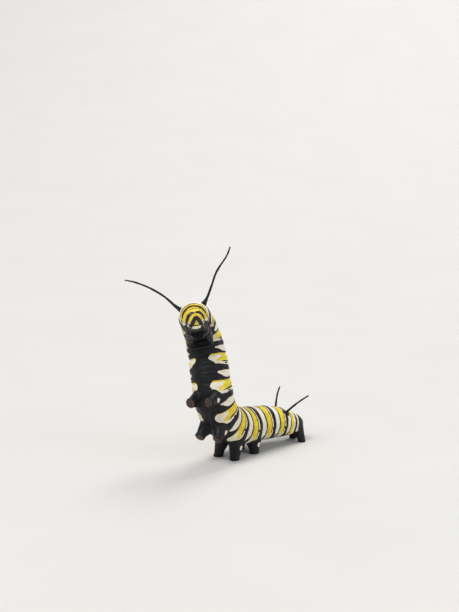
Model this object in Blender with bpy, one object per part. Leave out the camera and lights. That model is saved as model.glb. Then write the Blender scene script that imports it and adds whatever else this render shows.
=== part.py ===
"""Larva of the monarch butterfly in its last stage, life size, as a still model.

The hind part of the body stands on the floor at z = 0 and runs back along +X and +Y. The front
half rises from it as a column, and the thorax arches forward, so that the face looks along -Y.
Units are metres with +Z up. The animal's left side is towards +X at its head.
"""

import math

import bmesh
import bpy
import numpy as np

MM = 0.001
GAP = 0.3 * MM  # clearance between neighbouring sub-parts

# Body lengths in order from tail to head: length and radius in millimetres, then the pitch of
# the axis, its yaw towards -X and the roll of the back towards -X, in degrees at mid length.
BODY = {
    "abdomen_10": (2.5, 1.95, 9, 60, 0),
    "abdomen_9": (1.5, 2.45, 12, 59, 0),
    "abdomen_8": (3.1, 2.95, 11, 56, 0),
    "abdomen_7": (3.8, 3.3, 5, 51, 0),
    "abdomen_6": (4.3, 3.5, 4, 45, 0),
    "abdomen_5": (4.5, 3.6, 18, 39, 0),
    "abdomen_4": (4.6, 3.6, 52, 33, 3),
    "abdomen_3": (4.6, 3.6, 86, 27, 9),
    "abdomen_2": (4.4, 3.5, 106, 20, 14),
    "abdomen_1": (4.1, 3.35, 98, 13, 16),
    "thorax_3": (3.4, 3.1, 62, 6, 16),
    "thorax_2": (2.9, 2.85, 24, -1, 15),
    "thorax_1": (2.1, 2.4, 3, -4, 12),
    "head": (2.2, 1.7, -5, -16, 8),
}
TAIL_START = (15.58 * MM, 9.26 * MM)  # place of the tail's end, which centres the whole on the origin
AXIS_HEIGHT = 3.0 * MM  # of the axis over the floor at the tail's end
TAIL_ROUNDING = 2.2 * MM  # length over which the last body length closes

BODY_SIDES = 28
BELLY_FLATTENING = 0.08
FOLDS = {"abdomen_9": 1, "thorax_1": 2, "thorax_2": 2}  # annular folds on a body length
USUAL_FOLDS = 3
FOLD_CREST = (0.3, 0.7)  # where a fold's rounded top starts and ends
FOLD_DEPTH = 0.025
JOINT_DEPTH = 0.06
COLLAR = ((0.86, 0.95), (1.0, 0.86))  # how the first thoracic length closes on the head
TAIL_RINGS = (0.02, 0.12, 0.3, 0.55, 0.8, 1.0)

BLACK = (0.012, 0.011, 0.012)
YELLOW = (0.72, 0.60, 0.05)
SKIN_ROUGHNESS = 0.5
HORN_ROUGHNESS = 0.3
SHARP_ANGLE = 50.0  # in degrees, past which an edge is shaded sharp

TRACK_STEPS = 600  # along the whole axis

NAMES = list(BODY)
ROWS = np.array([BODY[name] for name in NAMES], float)
ENDS = np.concatenate([[0], np.cumsum(ROWS[:, 0])]) * MM
MIDS = (ENDS[:-1] + ENDS[1:]) / 2


def clear_scene():
    for obj in list(bpy.data.objects):
        bpy.data.objects.remove(obj)


def unit(vector):
    vector = np.asarray(vector, float)
    return vector / np.linalg.norm(vector, axis=-1, keepdims=True)


def body_axes(s):
    """Forward, dorsal and left directions of the body at arc length s from the tail's end."""
    pitch, yaw, roll = [np.radians(np.interp(s, MIDS, ROWS[:, k])) for k in (2, 3, 4)]

    def turned(y, z):
        x, z = -np.sin(roll) * z, np.cos(roll) * z
        across = x * np.cos(yaw) + y * np.sin(yaw)
        along = -x * np.sin(yaw) + y * np.cos(yaw)
        return np.stack([across, along, z], axis=-1)

    forward = turned(-np.cos(pitch), np.sin(pitch))
    dorsal = turned(np.sin(pitch), np.cos(pitch))
    return forward, dorsal, np.cross(dorsal, forward)


def body_track():
    """Arc lengths and places along the body's axis, summed from its forward direction."""
    s = np.linspace(0, ENDS[-1], TRACK_STEPS + 1)
    step = s[1] - s[0]
    moves = body_axes((s[1:] + s[:-1]) / 2)[0] * step
    places = np.vstack([np.zeros(3), np.cumsum(moves, axis=0)])
    return s, places + np.array([*TAIL_START, AXIS_HEIGHT])


TRACK_S, TRACK = body_track()


def axis_point(s):
    return np.array([np.interp(s, TRACK_S, TRACK[:, k]) for k in range(3)])


def body_radius(s):
    """Radius between folds at arc length s, closed over the tail's rounding."""
    radius = np.interp(s, MIDS, ROWS[:, 1]) * MM
    left = 1 - min(s / TAIL_ROUNDING, 1)
    return radius * math.sqrt(1 - left * left)


def mid_arc(name):
    return MIDS[NAMES.index(name)]


def local_point(s, forward, outward, up, side):
    """A point given in millimetres from the body's axis at s. Side is 1 on the left, -1 on the right."""
    ahead, dorsal, left = body_axes(s)
    return axis_point(s) + MM * (forward * ahead + outward * side * left + up * dorsal)


def body_ring(s, shift, factor, grow):
    """Points round the body, from the back over the left side, with a flattened belly."""
    forward, dorsal, left = body_axes(s)
    turn = np.linspace(0, 2 * math.pi, BODY_SIDES, endpoint=False)
    flat = 1 - BELLY_FLATTENING * np.clip(-np.cos(turn), 0, None) ** 2
    radius = body_radius(s) * factor * flat + grow
    centre = axis_point(s) + forward * shift
    return centre + radius[:, None] * (np.outer(np.cos(turn), dorsal) + np.outer(np.sin(turn), left))


def fold_stations(name):
    """Fractions along a body length and the factor on the radius there, low at joints and folds."""
    if name == NAMES[0]:
        return [(u, 1.0) for u in TAIL_RINGS[:-1]] + [(1.0, 1 - JOINT_DEPTH)]
    folds = FOLDS.get(name, USUAL_FOLDS)
    stations = []
    for fold in range(folds):
        low = 1 - (JOINT_DEPTH if fold == 0 else FOLD_DEPTH)
        stations += [(fold / folds, low)]
        stations += [((fold + crest) / folds, 1.0) for crest in FOLD_CREST]
    if name == "thorax_1":
        return stations[:-1] + list(COLLAR)
    return stations + [(1.0, 1 - JOINT_DEPTH)]


def length_rings(name, grow=0.0, gap=GAP):
    """Rings of one body length. Its end faces are drawn in by half of the gap along the axis."""
    start, end = ENDS[NAMES.index(name)], ENDS[NAMES.index(name) + 1]
    stations = fold_stations(name)
    rings = []
    for index, (u, factor) in enumerate(stations):
        is_tail_end = name == NAMES[0] and index == 0
        shift = gap / 2 * ((index == 0 and not is_tail_end) - (index == len(stations) - 1))
        rings.append(body_ring(start + u * (end - start), shift, factor, grow))
    return rings


def lofted_mesh(name, rings):
    """A closed mesh through rings of equal counts, with a flat cap at each end."""
    count, sides = len(rings), len(rings[0])
    points = np.concatenate(rings)
    faces = [tuple(range(sides)), tuple(range(count * sides - 1, (count - 1) * sides - 1, -1))]
    for row in range(count - 1):
        for k in range(sides):
            a, b = row * sides + k, row * sides + (k + 1) % sides
            faces.append((a, a + sides, b + sides, b))
    mesh = bpy.data.meshes.new(name)
    mesh.from_pydata([tuple(point) for point in points], [], faces)
    mesh.validate()
    return mesh


def add_object(name, mesh, colour, roughness):
    obj = bpy.data.objects.new(name, mesh)
    bpy.context.scene.collection.objects.link(obj)
    material = bpy.data.materials.new(name + "_finish")
    material.use_nodes = True
    shader = material.node_tree.nodes["Principled BSDF"]
    shader.inputs["Base Color"].default_value = (*colour, 1)
    shader.inputs["Roughness"].default_value = roughness
    shader.inputs["Metallic"].default_value = 0.0
    mesh.materials.clear()
    mesh.materials.append(material)
    mesh.shade_smooth()
    mesh.set_sharp_from_angle(angle=math.radians(SHARP_ANGLE))
    return obj


def largest_surface(mesh):
    """Keeps the closed surface of the largest volume in a mesh."""
    work = bmesh.new()
    work.from_mesh(mesh)
    bmesh.ops.triangulate(work, faces=work.faces)
    left = set(work.faces)
    best, best_volume = set(), 0.0
    while left:
        island, edge = set(), [left.pop()]
        while edge:
            face = edge.pop()
            island.add(face)
            near = {other for side in face.edges for other in side.link_faces} & left
            left -= near
            edge.extend(near)
        volume = 0.0
        for face in island:
            a, b, c = [vertex.co for vertex in face.verts]
            volume += a.dot(b.cross(c)) / 6
        if volume > best_volume:
            best, best_volume = island, volume
    bmesh.ops.delete(work, geom=[face for face in work.faces if face not in best], context="FACES")
    work.to_mesh(mesh)
    work.free()


def boolean_result(mesh, operation, others):
    """The mesh after one Boolean with a collection of closed meshes."""
    helpers = bpy.data.collections.new("helpers")
    bpy.context.scene.collection.children.link(helpers)
    for other in others:
        helpers.objects.link(bpy.data.objects.new("helper", other))
    base = bpy.data.objects.new("base", mesh)
    bpy.context.scene.collection.objects.link(base)
    modifier = base.modifiers.new("joined", "BOOLEAN")
    modifier.operation = operation
    modifier.operand_type = "COLLECTION"
    modifier.collection = helpers
    modifier.solver = "EXACT"
    bpy.context.view_layer.update()
    result = bpy.data.meshes.new_from_object(base.evaluated_get(bpy.context.evaluated_depsgraph_get()))
    for obj in [base, *helpers.objects]:
        bpy.data.objects.remove(obj)
    bpy.data.collections.remove(helpers)
    largest_surface(result)
    return result


def path_rings(points, radii, sides, reference, normals=None):
    """Elliptic rings on a path, each square to it or to the given normals.

    Radii holds a pair for each point: along the reference direction and across it.
    """
    points = np.asarray(points)
    if normals is None:
        normals = np.gradient(points, axis=0)
    turn = np.linspace(0, 2 * math.pi, sides, endpoint=False)
    rings = []
    for point, normal, (along, across) in zip(points, unit(normals), radii):
        up = unit(reference - np.dot(reference, normal) * normal)
        left = np.cross(up, normal)
        rings.append(point + along * np.outer(np.cos(turn), up) + across * np.outer(np.sin(turn), left))
    return rings


def smooth_path(points, count):
    """A Catmull-Rom curve through the points, read at count places an even step apart."""
    points = np.asarray(points, float)
    padded = np.vstack([2 * points[0] - points[1], points, 2 * points[-1] - points[-2]])
    t = np.linspace(0, len(points) - 1, count)
    span = np.minimum(t.astype(int), len(points) - 2)
    u = (t - span)[:, None]
    a, b, c, d = [padded[span + k] for k in range(4)]
    square = 2 * a - 5 * b + 4 * c - d
    cube = 3 * b - a - 3 * c + d
    return 0.5 * (2 * b + (c - a) * u + square * u**2 + cube * u**3)


def build_body():
    for name in NAMES[:-1]:
        add_object(name, lofted_mesh(name, length_rings(name)), YELLOW, SKIN_ROUGHNESS)


def body_cutter():
    """The whole body up to the head, grown by the gap, with no breaks between its lengths."""
    rings = []
    for name in NAMES[:-1]:
        rings += length_rings(name, grow=GAP, gap=0.0)[:-1]
    rings.append(body_ring(ENDS[-2], GAP, COLLAR[-1][1], GAP))
    return lofted_mesh("body_cutter", rings)


# Head capsule: half width, half height and depth in front of its centre. It is turned to the left
# at the neck, where its centre is a little to the right of the axis.
HEAD_HALF_WIDTH = 1.8 * MM
HEAD_HALF_HEIGHT = 1.78 * MM
HEAD_DEPTH = 1.35 * MM
HEAD_ASIDE = 0.15 * MM
HEAD_SIDES = 26
HEAD_ANGLES = (8, 22, 38, 54, 70, 84, 98, 112)  # from the middle of the face to the neck
FACE_POWER = 2.4  # over 2 flattens the face
VERTEX_CLEFT = 0.06  # depth of the groove between the two lobes, as a share of the radius
CLEFT_HALF_ANGLE = 13.0


def head_frame():
    s = ENDS[-2]
    forward, dorsal, left = body_axes(mid_arc("head"))
    back = HEAD_DEPTH * abs(math.cos(math.radians(HEAD_ANGLES[-1])))
    neck_forward, _, neck_left = body_axes(s)
    centre = axis_point(s) + neck_forward * (GAP / 2 + back) - neck_left * HEAD_ASIDE
    return centre, forward, dorsal, left


def head_point(right_to_left, down_to_up, back_to_front):
    centre, forward, dorsal, left = head_frame()
    return centre + MM * (right_to_left * left + down_to_up * dorsal + back_to_front * forward)


def head_capsule(grow=0.0):
    """A globe with a flattened face, cut off flat at the neck, and a groove between its two lobes."""
    centre, forward, dorsal, left = head_frame()
    turn = np.linspace(0, 2 * math.pi, HEAD_SIDES, endpoint=False)
    from_top = np.degrees(np.minimum(turn, 2 * math.pi - turn))
    rings = []
    for angle in np.radians(HEAD_ANGLES[::-1]):
        spread = math.sin(angle)
        depth = math.copysign(abs(math.cos(angle)) ** (2 / FACE_POWER), math.cos(angle))
        if angle > math.pi / 2:
            depth = math.cos(angle)
        cleft = 1 - VERTEX_CLEFT * spread * np.exp(-((from_top / CLEFT_HALF_ANGLE) ** 2))
        width = (HEAD_HALF_WIDTH + grow) * spread * cleft
        height = (HEAD_HALF_HEIGHT + grow) * spread * cleft
        rings.append(
            centre
            + forward * depth * (HEAD_DEPTH + grow)
            + np.outer(np.cos(turn) * height, dorsal)
            + np.outer(np.sin(turn) * width, left)
        )
    return lofted_mesh("head", rings)


def ellipsoid_mesh(centre, half_sizes, axes, sides, rows):
    """A closed ellipsoid on three axes: along, up and across."""
    along, up, across = axes
    turn = np.linspace(0, 2 * math.pi, sides, endpoint=False)
    rings = []
    for angle in np.linspace(math.pi, 0, rows + 2)[1:-1]:
        rings.append(
            centre
            + along * half_sizes[0] * math.cos(angle)
            + half_sizes[1] * math.sin(angle) * np.outer(np.cos(turn), up)
            + half_sizes[2] * math.sin(angle) * np.outer(np.sin(turn), across)
        )
    return lofted_mesh("lobe", rings)


# Mouth parts and eyes in millimetres from the head's centre: to the left, up and to the front.
LABRUM_PLACE, LABRUM_SIZE = (0.0, -1.12, 1.0), (0.36, 0.34, 0.72)
MANDIBLE_PLACE, MANDIBLE_SIZE = (0.46, -1.5, 0.86), (0.44, 0.42, 0.46)
LABIUM_PLACE, LABIUM_SIZE = (0.0, -1.62, 0.2), (0.6, 0.42, 0.72)
EYE_RADIUS = 0.14
EYES_PER_SIDE = 6
EYE_ARC = (200.0, 20.0)  # the arc of eyes round each cheek, from and to, in degrees
EYE_ARC_HALF_WIDTH, EYE_ARC_HALF_HEIGHT = 0.216, 0.36
EYE_ARC_CENTRE = (1.35, -0.72)  # to the left and up
LIP_GRAIN, JAW_GRAIN, EYE_GRAIN = (14, 5), (12, 5), (6, 3)  # sides and rows of each kind of lobe


def build_head():
    axes = head_frame()[1:]
    pieces = []

    def lobe(place, size, grain):
        half = [value * MM for value in size]
        pieces.append(ellipsoid_mesh(head_point(*place), half, axes, *grain))

    lobe(LABRUM_PLACE, LABRUM_SIZE, LIP_GRAIN)
    lobe(LABIUM_PLACE, LABIUM_SIZE, LIP_GRAIN)
    for side in (-1, 1):
        lobe((side * MANDIBLE_PLACE[0], *MANDIBLE_PLACE[1:]), MANDIBLE_SIZE, JAW_GRAIN)
        for angle in np.radians(np.linspace(*EYE_ARC, EYES_PER_SIDE)):
            across = EYE_ARC_CENTRE[0] + EYE_ARC_HALF_WIDTH * math.cos(angle)
            up = EYE_ARC_CENTRE[1] + EYE_ARC_HALF_HEIGHT * math.sin(angle)
            inside = (across / (HEAD_HALF_WIDTH / MM)) ** 2 + (up / (HEAD_HALF_HEIGHT / MM)) ** 2
            front = HEAD_DEPTH / MM * math.sqrt(max(0.0, 1 - inside)) ** (2 / FACE_POWER)
            lobe((side * across, up, front), (EYE_RADIUS,) * 3, EYE_GRAIN)
    mesh = boolean_result(head_capsule(), "UNION", pieces)
    add_object("head", mesh, BLACK, HORN_ROUGHNESS)


ANTENNA_ROOT, ANTENNA_TIP = (1.07, -1.12, 0.75), (1.28, -1.62, 1.72)
ANTENNA_RADII = (0.27, 0.27, 0.25, 0.17)
ANTENNA_SIDES = 8


def build_antennae():
    cutter = head_capsule(grow=GAP)
    for side, word in ((1, "left"), (-1, "right")):
        root = head_point(side * ANTENNA_ROOT[0], *ANTENNA_ROOT[1:])
        tip = head_point(side * ANTENNA_TIP[0], *ANTENNA_TIP[1:])
        points = np.linspace(root, tip, len(ANTENNA_RADII))
        radii = [(radius * MM, radius * MM) for radius in ANTENNA_RADII]
        rings = path_rings(points, radii, ANTENNA_SIDES, head_frame()[2])
        name = "antenna_" + word
        mesh = boolean_result(lofted_mesh(name, rings), "DIFFERENCE", [cutter])
        add_object(name, mesh, BLACK, HORN_ROUGHNESS)


# Routes of the long tentacles in millimetres from the body's axis: forward, outward and up.
# The left one has a slight double curve, the right one bends outward.
FRONT_LEFT_ROUTE = (
    (0.1, 1.5, 1.35),
    (0.7, 2.9, 2.65),
    (1.3, 4.2, 4.35),
    (1.9, 5.75, 6.5),
    (2.4, 8.1, 8.6),
    (2.7, 9.15, 10.0),
)
FRONT_RIGHT_ROUTE = (
    (0.1, 1.5, 1.35),
    (0.7, 2.75, 2.75),
    (1.2, 4.2, 4.8),
    (1.6, 6.2, 6.8),
    (1.9, 8.4, 8.4),
    (2.1, 10.2, 9.3),
)
REAR_ROUTE = ((0.0, 1.2, 1.6), (-0.3, 1.85, 2.6), (-0.9, 2.75, 3.9), (-1.7, 3.7, 5.2), (-2.6, 4.5, 6.3))
TENTACLE_SIDES = 8
TENTACLE_ROOT, TENTACLE_SHAFT, TENTACLE_TIP = 0.62, 0.26, 0.18  # radii in millimetres
TENTACLE_FLARE = 0.154  # share of the length over which most of the root's flare is gone
TENTACLE_TAPER_START = 0.6  # share of the length where the shaft starts to narrow to the tip
FRONT_RINGS, REAR_RINGS = 17, 11


def tentacle_radii(count):
    """Wide at the root, narrowing fast to an even shaft and tapering to the tip."""
    t = np.linspace(0, 1, count)
    flare = (TENTACLE_ROOT - TENTACLE_SHAFT) * np.exp(-((t / TENTACLE_FLARE) ** 2))
    past_even = np.clip((t - TENTACLE_TAPER_START) / (1 - TENTACLE_TAPER_START), 0, 1)
    taper = (TENTACLE_SHAFT - TENTACLE_TIP) * past_even**2
    radius = (TENTACLE_SHAFT + flare - taper) * MM
    return [(value, value) for value in radius]


def build_tentacles(cutter):
    for name, where, route, side, count in (
        ("tentacle_front_left", "thorax_2", FRONT_LEFT_ROUTE, 1, FRONT_RINGS),
        ("tentacle_front_right", "thorax_2", FRONT_RIGHT_ROUTE, -1, FRONT_RINGS),
        ("tentacle_rear_left", "abdomen_8", REAR_ROUTE, 1, REAR_RINGS),
        ("tentacle_rear_right", "abdomen_8", REAR_ROUTE, -1, REAR_RINGS),
    ):
        s = mid_arc(where)
        points = smooth_path([local_point(s, *stop, side) for stop in route], count)
        rings = path_rings(points, tentacle_radii(count), TENTACLE_SIDES, body_axes(s)[0])
        mesh = boolean_result(lofted_mesh(name, rings), "DIFFERENCE", [cutter])
        add_object(name, mesh, BLACK, HORN_ROUGHNESS)


# Jointed legs: place of the tip in millimetres from the body's axis, forward, outward and down.
LEG_TIPS = {1: (1.1, 0.7, 3.65), 2: (0.3, 1.35, 4.25), 3: (-1.0, 2.1, 4.35)}
LEG_ROOT_OUTWARD, LEG_ROOT_DEPTH = 0.48, 0.5  # shares of the body's radius
LEG_KNEE_OUTWARD = 0.62
KNEE_SHARE, SHIN_SHARE = 0.3, 0.75  # how much of the tip's forward reach the knee and shin have
KNEE_DROP = 0.4  # share of the way from the belly down to the tip
LEG_SIDES = 9
LEG_RADII = (0.62, 0.6, 0.5, 0.42, 0.38, 0.33, 0.3, 0.26, 0.12)
SMALL_LEG = 0.88  # the first pair's thickness against the others


def build_legs(cutter):
    """Three pairs of short jointed legs, each bent inward at the knee and ending in a claw."""
    for pair, (ahead, out, down) in LEG_TIPS.items():
        s = mid_arc(f"thorax_{pair}")
        radius = body_radius(s) / MM
        scale = (SMALL_LEG if pair == 1 else 1.0) * MM
        for side, word in ((1, "left"), (-1, "right")):
            root = (0.0, radius * LEG_ROOT_OUTWARD, -radius * LEG_ROOT_DEPTH)
            knee_out, knee_down = radius * LEG_KNEE_OUTWARD, radius + (down - radius) * KNEE_DROP
            knee = (ahead * KNEE_SHARE, knee_out, -knee_down)
            shin = (ahead * SHIN_SHARE, (out + knee_out) / 2, -(down + knee_down) / 2)
            stops = (root, knee, shin, (ahead, out, -down))
            points = smooth_path([local_point(s, *stop, side) for stop in stops], len(LEG_RADII))
            radii = [(value * scale, value * scale) for value in LEG_RADII]
            rings = path_rings(points, radii, LEG_SIDES, body_axes(s)[0])
            name = f"leg_{pair}_{word}"
            mesh = boolean_result(lofted_mesh(name, rings), "DIFFERENCE", [cutter])
            add_object(name, mesh, BLACK, HORN_ROUGHNESS)


# Fleshy prolegs: share of the way from root to sole, then the radii along and across the body.
PROLEG_FORM = (
    (0.0, 1.6, 1.35),
    (0.35, 1.5, 1.3),
    (0.55, 1.3, 1.15),
    (0.74, 1.02, 0.95),
    (0.87, 0.92, 0.88),
    (0.96, 0.96, 0.92),
    (1.0, 0.8, 0.76),
)
PROLEG_SIDES = 14
PROLEG_OUTWARD = 1.9  # from the mid line to the sole's middle, in millimetres
PROLEG_ROOT_OUTWARD, PROLEG_ROOT_DEPTH = 1.4, 0.4
FREE_PROLEG_REACH = 1.5  # how far a proleg that hangs free stands out of the belly
ANAL_PROLEG_ROOT = (0.0, 1.05, -0.2)
ANAL_PROLEG_SLIMNESS = 0.82
ANAL_SOLE_OUTWARD, ANAL_SOLE_BACK = 1.5, 0.3
STANDING = (5, 6)


def build_proleg(name, root, sole, root_normal, sole_normal, reference, cutter, slimness=1.0):
    share = np.array([row[0] for row in PROLEG_FORM])[:, None]
    points = root + (sole - root) * share
    normals = unit(unit(root_normal) + (unit(sole_normal) - unit(root_normal)) * share**0.5)
    radii = [(row[1] * MM * slimness, row[2] * MM * slimness) for row in PROLEG_FORM]
    rings = path_rings(points, radii, PROLEG_SIDES, reference, normals)
    mesh = boolean_result(lofted_mesh(name, rings), "DIFFERENCE", [cutter])
    add_object(name, mesh, BLACK, SKIN_ROUGHNESS)


def build_prolegs(cutter):
    """Prolegs of the third to the sixth abdominal length, and the last pair. Three pairs stand."""
    floor_normal = np.array([0.0, 0.0, -1.0])
    for pair in (3, 4, 5, 6):
        s = mid_arc(f"abdomen_{pair}")
        radius = body_radius(s) / MM
        forward, dorsal, _ = body_axes(s)
        for side, word in ((1, "left"), (-1, "right")):
            root = local_point(s, 0.0, PROLEG_ROOT_OUTWARD, -radius * PROLEG_ROOT_DEPTH, side)
            sole = local_point(s, 0.0, PROLEG_OUTWARD, -radius - FREE_PROLEG_REACH, side)
            normal = -dorsal
            if pair in STANDING:
                reach = local_point(s, 0.0, PROLEG_OUTWARD, -radius, side)
                sole = reach - dorsal * (reach[2] / dorsal[2])
                normal = floor_normal
            build_proleg(f"proleg_{pair}_{word}", root, sole, -dorsal, normal, forward, cutter)
    s = mid_arc("abdomen_10")
    forward, dorsal, _ = body_axes(s)
    for side, word in ((1, "left"), (-1, "right")):
        root = local_point(s, *ANAL_PROLEG_ROOT, side)
        sole = local_point(s, -ANAL_SOLE_BACK, ANAL_SOLE_OUTWARD, 0.0, side)
        sole[2] = 0.0
        name = f"proleg_anal_{word}"
        build_proleg(name, root, sole, -dorsal, floor_normal, forward, cutter, ANAL_PROLEG_SLIMNESS)


def main():
    clear_scene()
    build_body()
    build_head()
    build_antennae()
    cutter = body_cutter()
    build_tentacles(cutter)
    build_legs(cutter)
    build_prolegs(cutter)


main()
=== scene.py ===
"""Looks of a full-grown monarch larva, reared up on its hind prolegs, at life size in metres."""

import bpy
import numpy as np
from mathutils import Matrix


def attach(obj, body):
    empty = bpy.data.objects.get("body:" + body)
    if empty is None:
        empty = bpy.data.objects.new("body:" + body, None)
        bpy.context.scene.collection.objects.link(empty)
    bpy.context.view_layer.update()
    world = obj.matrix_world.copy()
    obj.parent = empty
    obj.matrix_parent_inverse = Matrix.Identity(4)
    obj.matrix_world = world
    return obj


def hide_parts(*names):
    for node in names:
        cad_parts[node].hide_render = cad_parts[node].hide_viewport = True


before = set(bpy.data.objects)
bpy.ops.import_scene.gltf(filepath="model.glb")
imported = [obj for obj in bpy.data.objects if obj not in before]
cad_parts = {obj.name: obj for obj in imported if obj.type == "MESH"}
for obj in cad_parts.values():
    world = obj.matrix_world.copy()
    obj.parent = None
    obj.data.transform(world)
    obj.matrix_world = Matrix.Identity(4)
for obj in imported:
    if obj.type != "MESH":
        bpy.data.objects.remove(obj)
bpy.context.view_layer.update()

# Banded skin. The soft wall of all body lengths and of the fleshy prolegs is one unbroken skin,
# drawn into rings by the muscles under it. It is filled from inside and held up by its own pressure.
# Its black, cream and yellow bands are in the skin itself.
MM = 0.001

# Body lengths from tail to head: length and radius in millimetres, then pitch, yaw and roll in degrees.
BODY = {
    "abdomen_10": (2.5, 1.95, 9, 60, 0),
    "abdomen_9": (1.5, 2.45, 12, 59, 0),
    "abdomen_8": (3.1, 2.95, 11, 56, 0),
    "abdomen_7": (3.8, 3.3, 5, 51, 0),
    "abdomen_6": (4.3, 3.5, 4, 45, 0),
    "abdomen_5": (4.5, 3.6, 18, 39, 0),
    "abdomen_4": (4.6, 3.6, 52, 33, 3),
    "abdomen_3": (4.6, 3.6, 86, 27, 9),
    "abdomen_2": (4.4, 3.5, 106, 20, 14),
    "abdomen_1": (4.1, 3.35, 98, 13, 16),
    "thorax_3": (3.4, 3.1, 62, 6, 16),
    "thorax_2": (2.9, 2.85, 24, -1, 15),
    "thorax_1": (2.1, 2.4, 3, -4, 12),
    "head": (2.2, 1.7, -5, -16, 8),
}
NAMES = list(BODY)
ROWS = np.array([BODY[name] for name in NAMES], float)
ENDS = np.concatenate([[0], np.cumsum(ROWS[:, 0])]) * MM
MIDS = (ENDS[:-1] + ENDS[1:]) / 2
TAIL_START = (15.58 * MM, 9.26 * MM)
AXIS_HEIGHT = 3.0 * MM
TAIL_ROUNDING = 2.2 * MM
BELLY_FLATTENING = 0.08


def unit(vector):
    """The vector over its own length."""
    return vector / np.linalg.norm(vector, axis=-1, keepdims=True)


def square_to(axis, vector):
    """The unit vector square to an axis that lies nearest to a vector."""
    return unit(vector - (vector * axis).sum(-1, keepdims=True) * axis)


def once_round(count):
    """Even angles once round a circle."""
    return np.linspace(0, 2 * np.pi, count, endpoint=False)


def smoothstep(x, low=0.0, high=1.0):
    """Rises from 0 at low to 1 at high with level ends."""
    t = np.clip((x - low) / (high - low), 0, 1)
    return t * t * (3 - 2 * t)


def hump(x, centre, width):
    """A bell of height 1 at the centre, falling to a third at the given width."""
    return np.exp(-(((x - centre) / width) ** 2))


def body_axes(s):
    """Forward, dorsal and left directions at arc length s: pitch, then roll, then yaw."""
    pitch, yaw, roll = [np.radians(np.interp(s, MIDS, ROWS[:, k])) for k in (2, 3, 4)]

    def turned(y, z):
        x, z = -np.sin(roll) * z, np.cos(roll) * z
        across = x * np.cos(yaw) + y * np.sin(yaw)
        along = -x * np.sin(yaw) + y * np.cos(yaw)
        return np.stack([across, along, z], axis=-1)

    forward = turned(-np.cos(pitch), np.sin(pitch))
    dorsal = turned(np.sin(pitch), np.cos(pitch))
    return forward, dorsal, np.cross(dorsal, forward)


def body_track():
    """Places along the axis: the running sum of the forward direction."""
    s = np.linspace(0, ENDS[-1], 601)
    moves = body_axes((s[1:] + s[:-1]) / 2)[0] * (s[1] - s[0])
    places = np.vstack([np.zeros(3), np.cumsum(moves, axis=0)])
    return s, places + np.array([*TAIL_START, AXIS_HEIGHT])


TRACK_S, TRACK = body_track()


def axis_point(s):
    """The place on the axis at arc length s, interpolated along the track."""
    return np.stack([np.interp(s, TRACK_S, TRACK[:, k]) for k in range(3)], axis=-1)


def body_radius(s):
    """Radius between folds, interpolated along the axis and closed over the tail's rounding."""
    left = 1 - np.minimum(s / TAIL_ROUNDING, 1)
    return np.interp(s, MIDS, ROWS[:, 1]) * MM * np.sqrt(1 - left * left)


def mid_arc(name):
    return MIDS[NAMES.index(name)]


def local_point(s, forward, outward, up, side=1):
    """A point in millimetres from the axis at s: forward, outward on the given side and up."""
    ahead, dorsal, left = body_axes(s)
    return axis_point(s) + MM * (forward * ahead + outward * side * left + up * dorsal)


def grid_mesh(name, *tubes):
    """One mesh from closed tubes, given as arrays of rings of points, with any number to an array.

    A ring's points run from the back over the left side, seen along the tube, and one more point
    closes each end.
    """
    points, faces, start = [], [], 0
    for tube in tubes:
        rows, sides = tube.shape[-3:-1]
        count = rows * sides
        tube = tube.reshape(-1, count, 3)
        ends = [edge.mean(1)[:, None] for edge in (tube[:, :sides], tube[:, -sides:])]
        points.append(np.concatenate([tube, *ends], axis=1).reshape(-1, 3))
        row, side = np.meshgrid(np.arange(rows - 1), np.arange(sides), indexing="ij")
        a, b = row * sides + side, row * sides + (side + 1) % sides
        quads = np.stack([a, a + sides, b + sides, b], axis=-1).reshape(-1, 4)
        here = np.arange(sides)
        after = (here + 1) % sides
        last = count - sides
        first_fan = np.stack([here, after, np.full(sides, count)], axis=-1)
        last_fan = np.stack([after + last, here + last, np.full(sides, count + 1)], axis=-1)
        shift = start + np.arange(len(tube))[:, None, None] * (count + 2)
        faces += (quads + shift).reshape(-1, 4).tolist()
        faces += (np.concatenate([first_fan, last_fan]) + shift).reshape(-1, 3).tolist()
        start += len(tube) * (count + 2)
    mesh = bpy.data.meshes.new(name)
    mesh.from_pydata(np.concatenate(points), [], faces)
    return mesh


def set_attribute(mesh, name, values):
    """Stores one number or one vector at each point of the mesh."""
    values = np.asarray(values, np.float32)
    kind, field = ("FLOAT", "value") if values.ndim == 1 else ("FLOAT_VECTOR", "vector")
    layer = mesh.attributes.new(name, kind, "POINT")
    layer.data.foreach_set(field, values.reshape(-1))


def with_poles(values):
    """Values of a grid as one list, with the means of the first and last rings for the poles."""
    tail = values.shape[2:]
    flat = values.reshape(-1, *tail)
    return np.concatenate([flat, values[0].mean(0)[None], values[-1].mean(0)[None]])


def link(item):
    """Puts an object into the scene."""
    bpy.context.scene.collection.objects.link(item)
    return item


def add_piece(name, mesh, material, nodes=()):
    """A finished piece of the animal: one object at the origin that rides on the only body."""
    piece = link(bpy.data.objects.new(name, mesh))
    mesh.polygons.foreach_set("use_smooth", np.full(len(mesh.polygons), True))
    mesh.materials.append(material)
    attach(piece, "root")
    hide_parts(*nodes)


def add_tubes(name, slot, tubes, material, nodes=(), **stored):
    """A piece made of closed tubes, and the values stored at their points, one grid to a tube."""
    mesh = grid_mesh(name, *tubes)
    for attribute, grids in stored.items():
        set_attribute(mesh, attribute, np.concatenate([with_poles(values) for values in grids]))
    add_piece(name, mesh, material, nodes)


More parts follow.
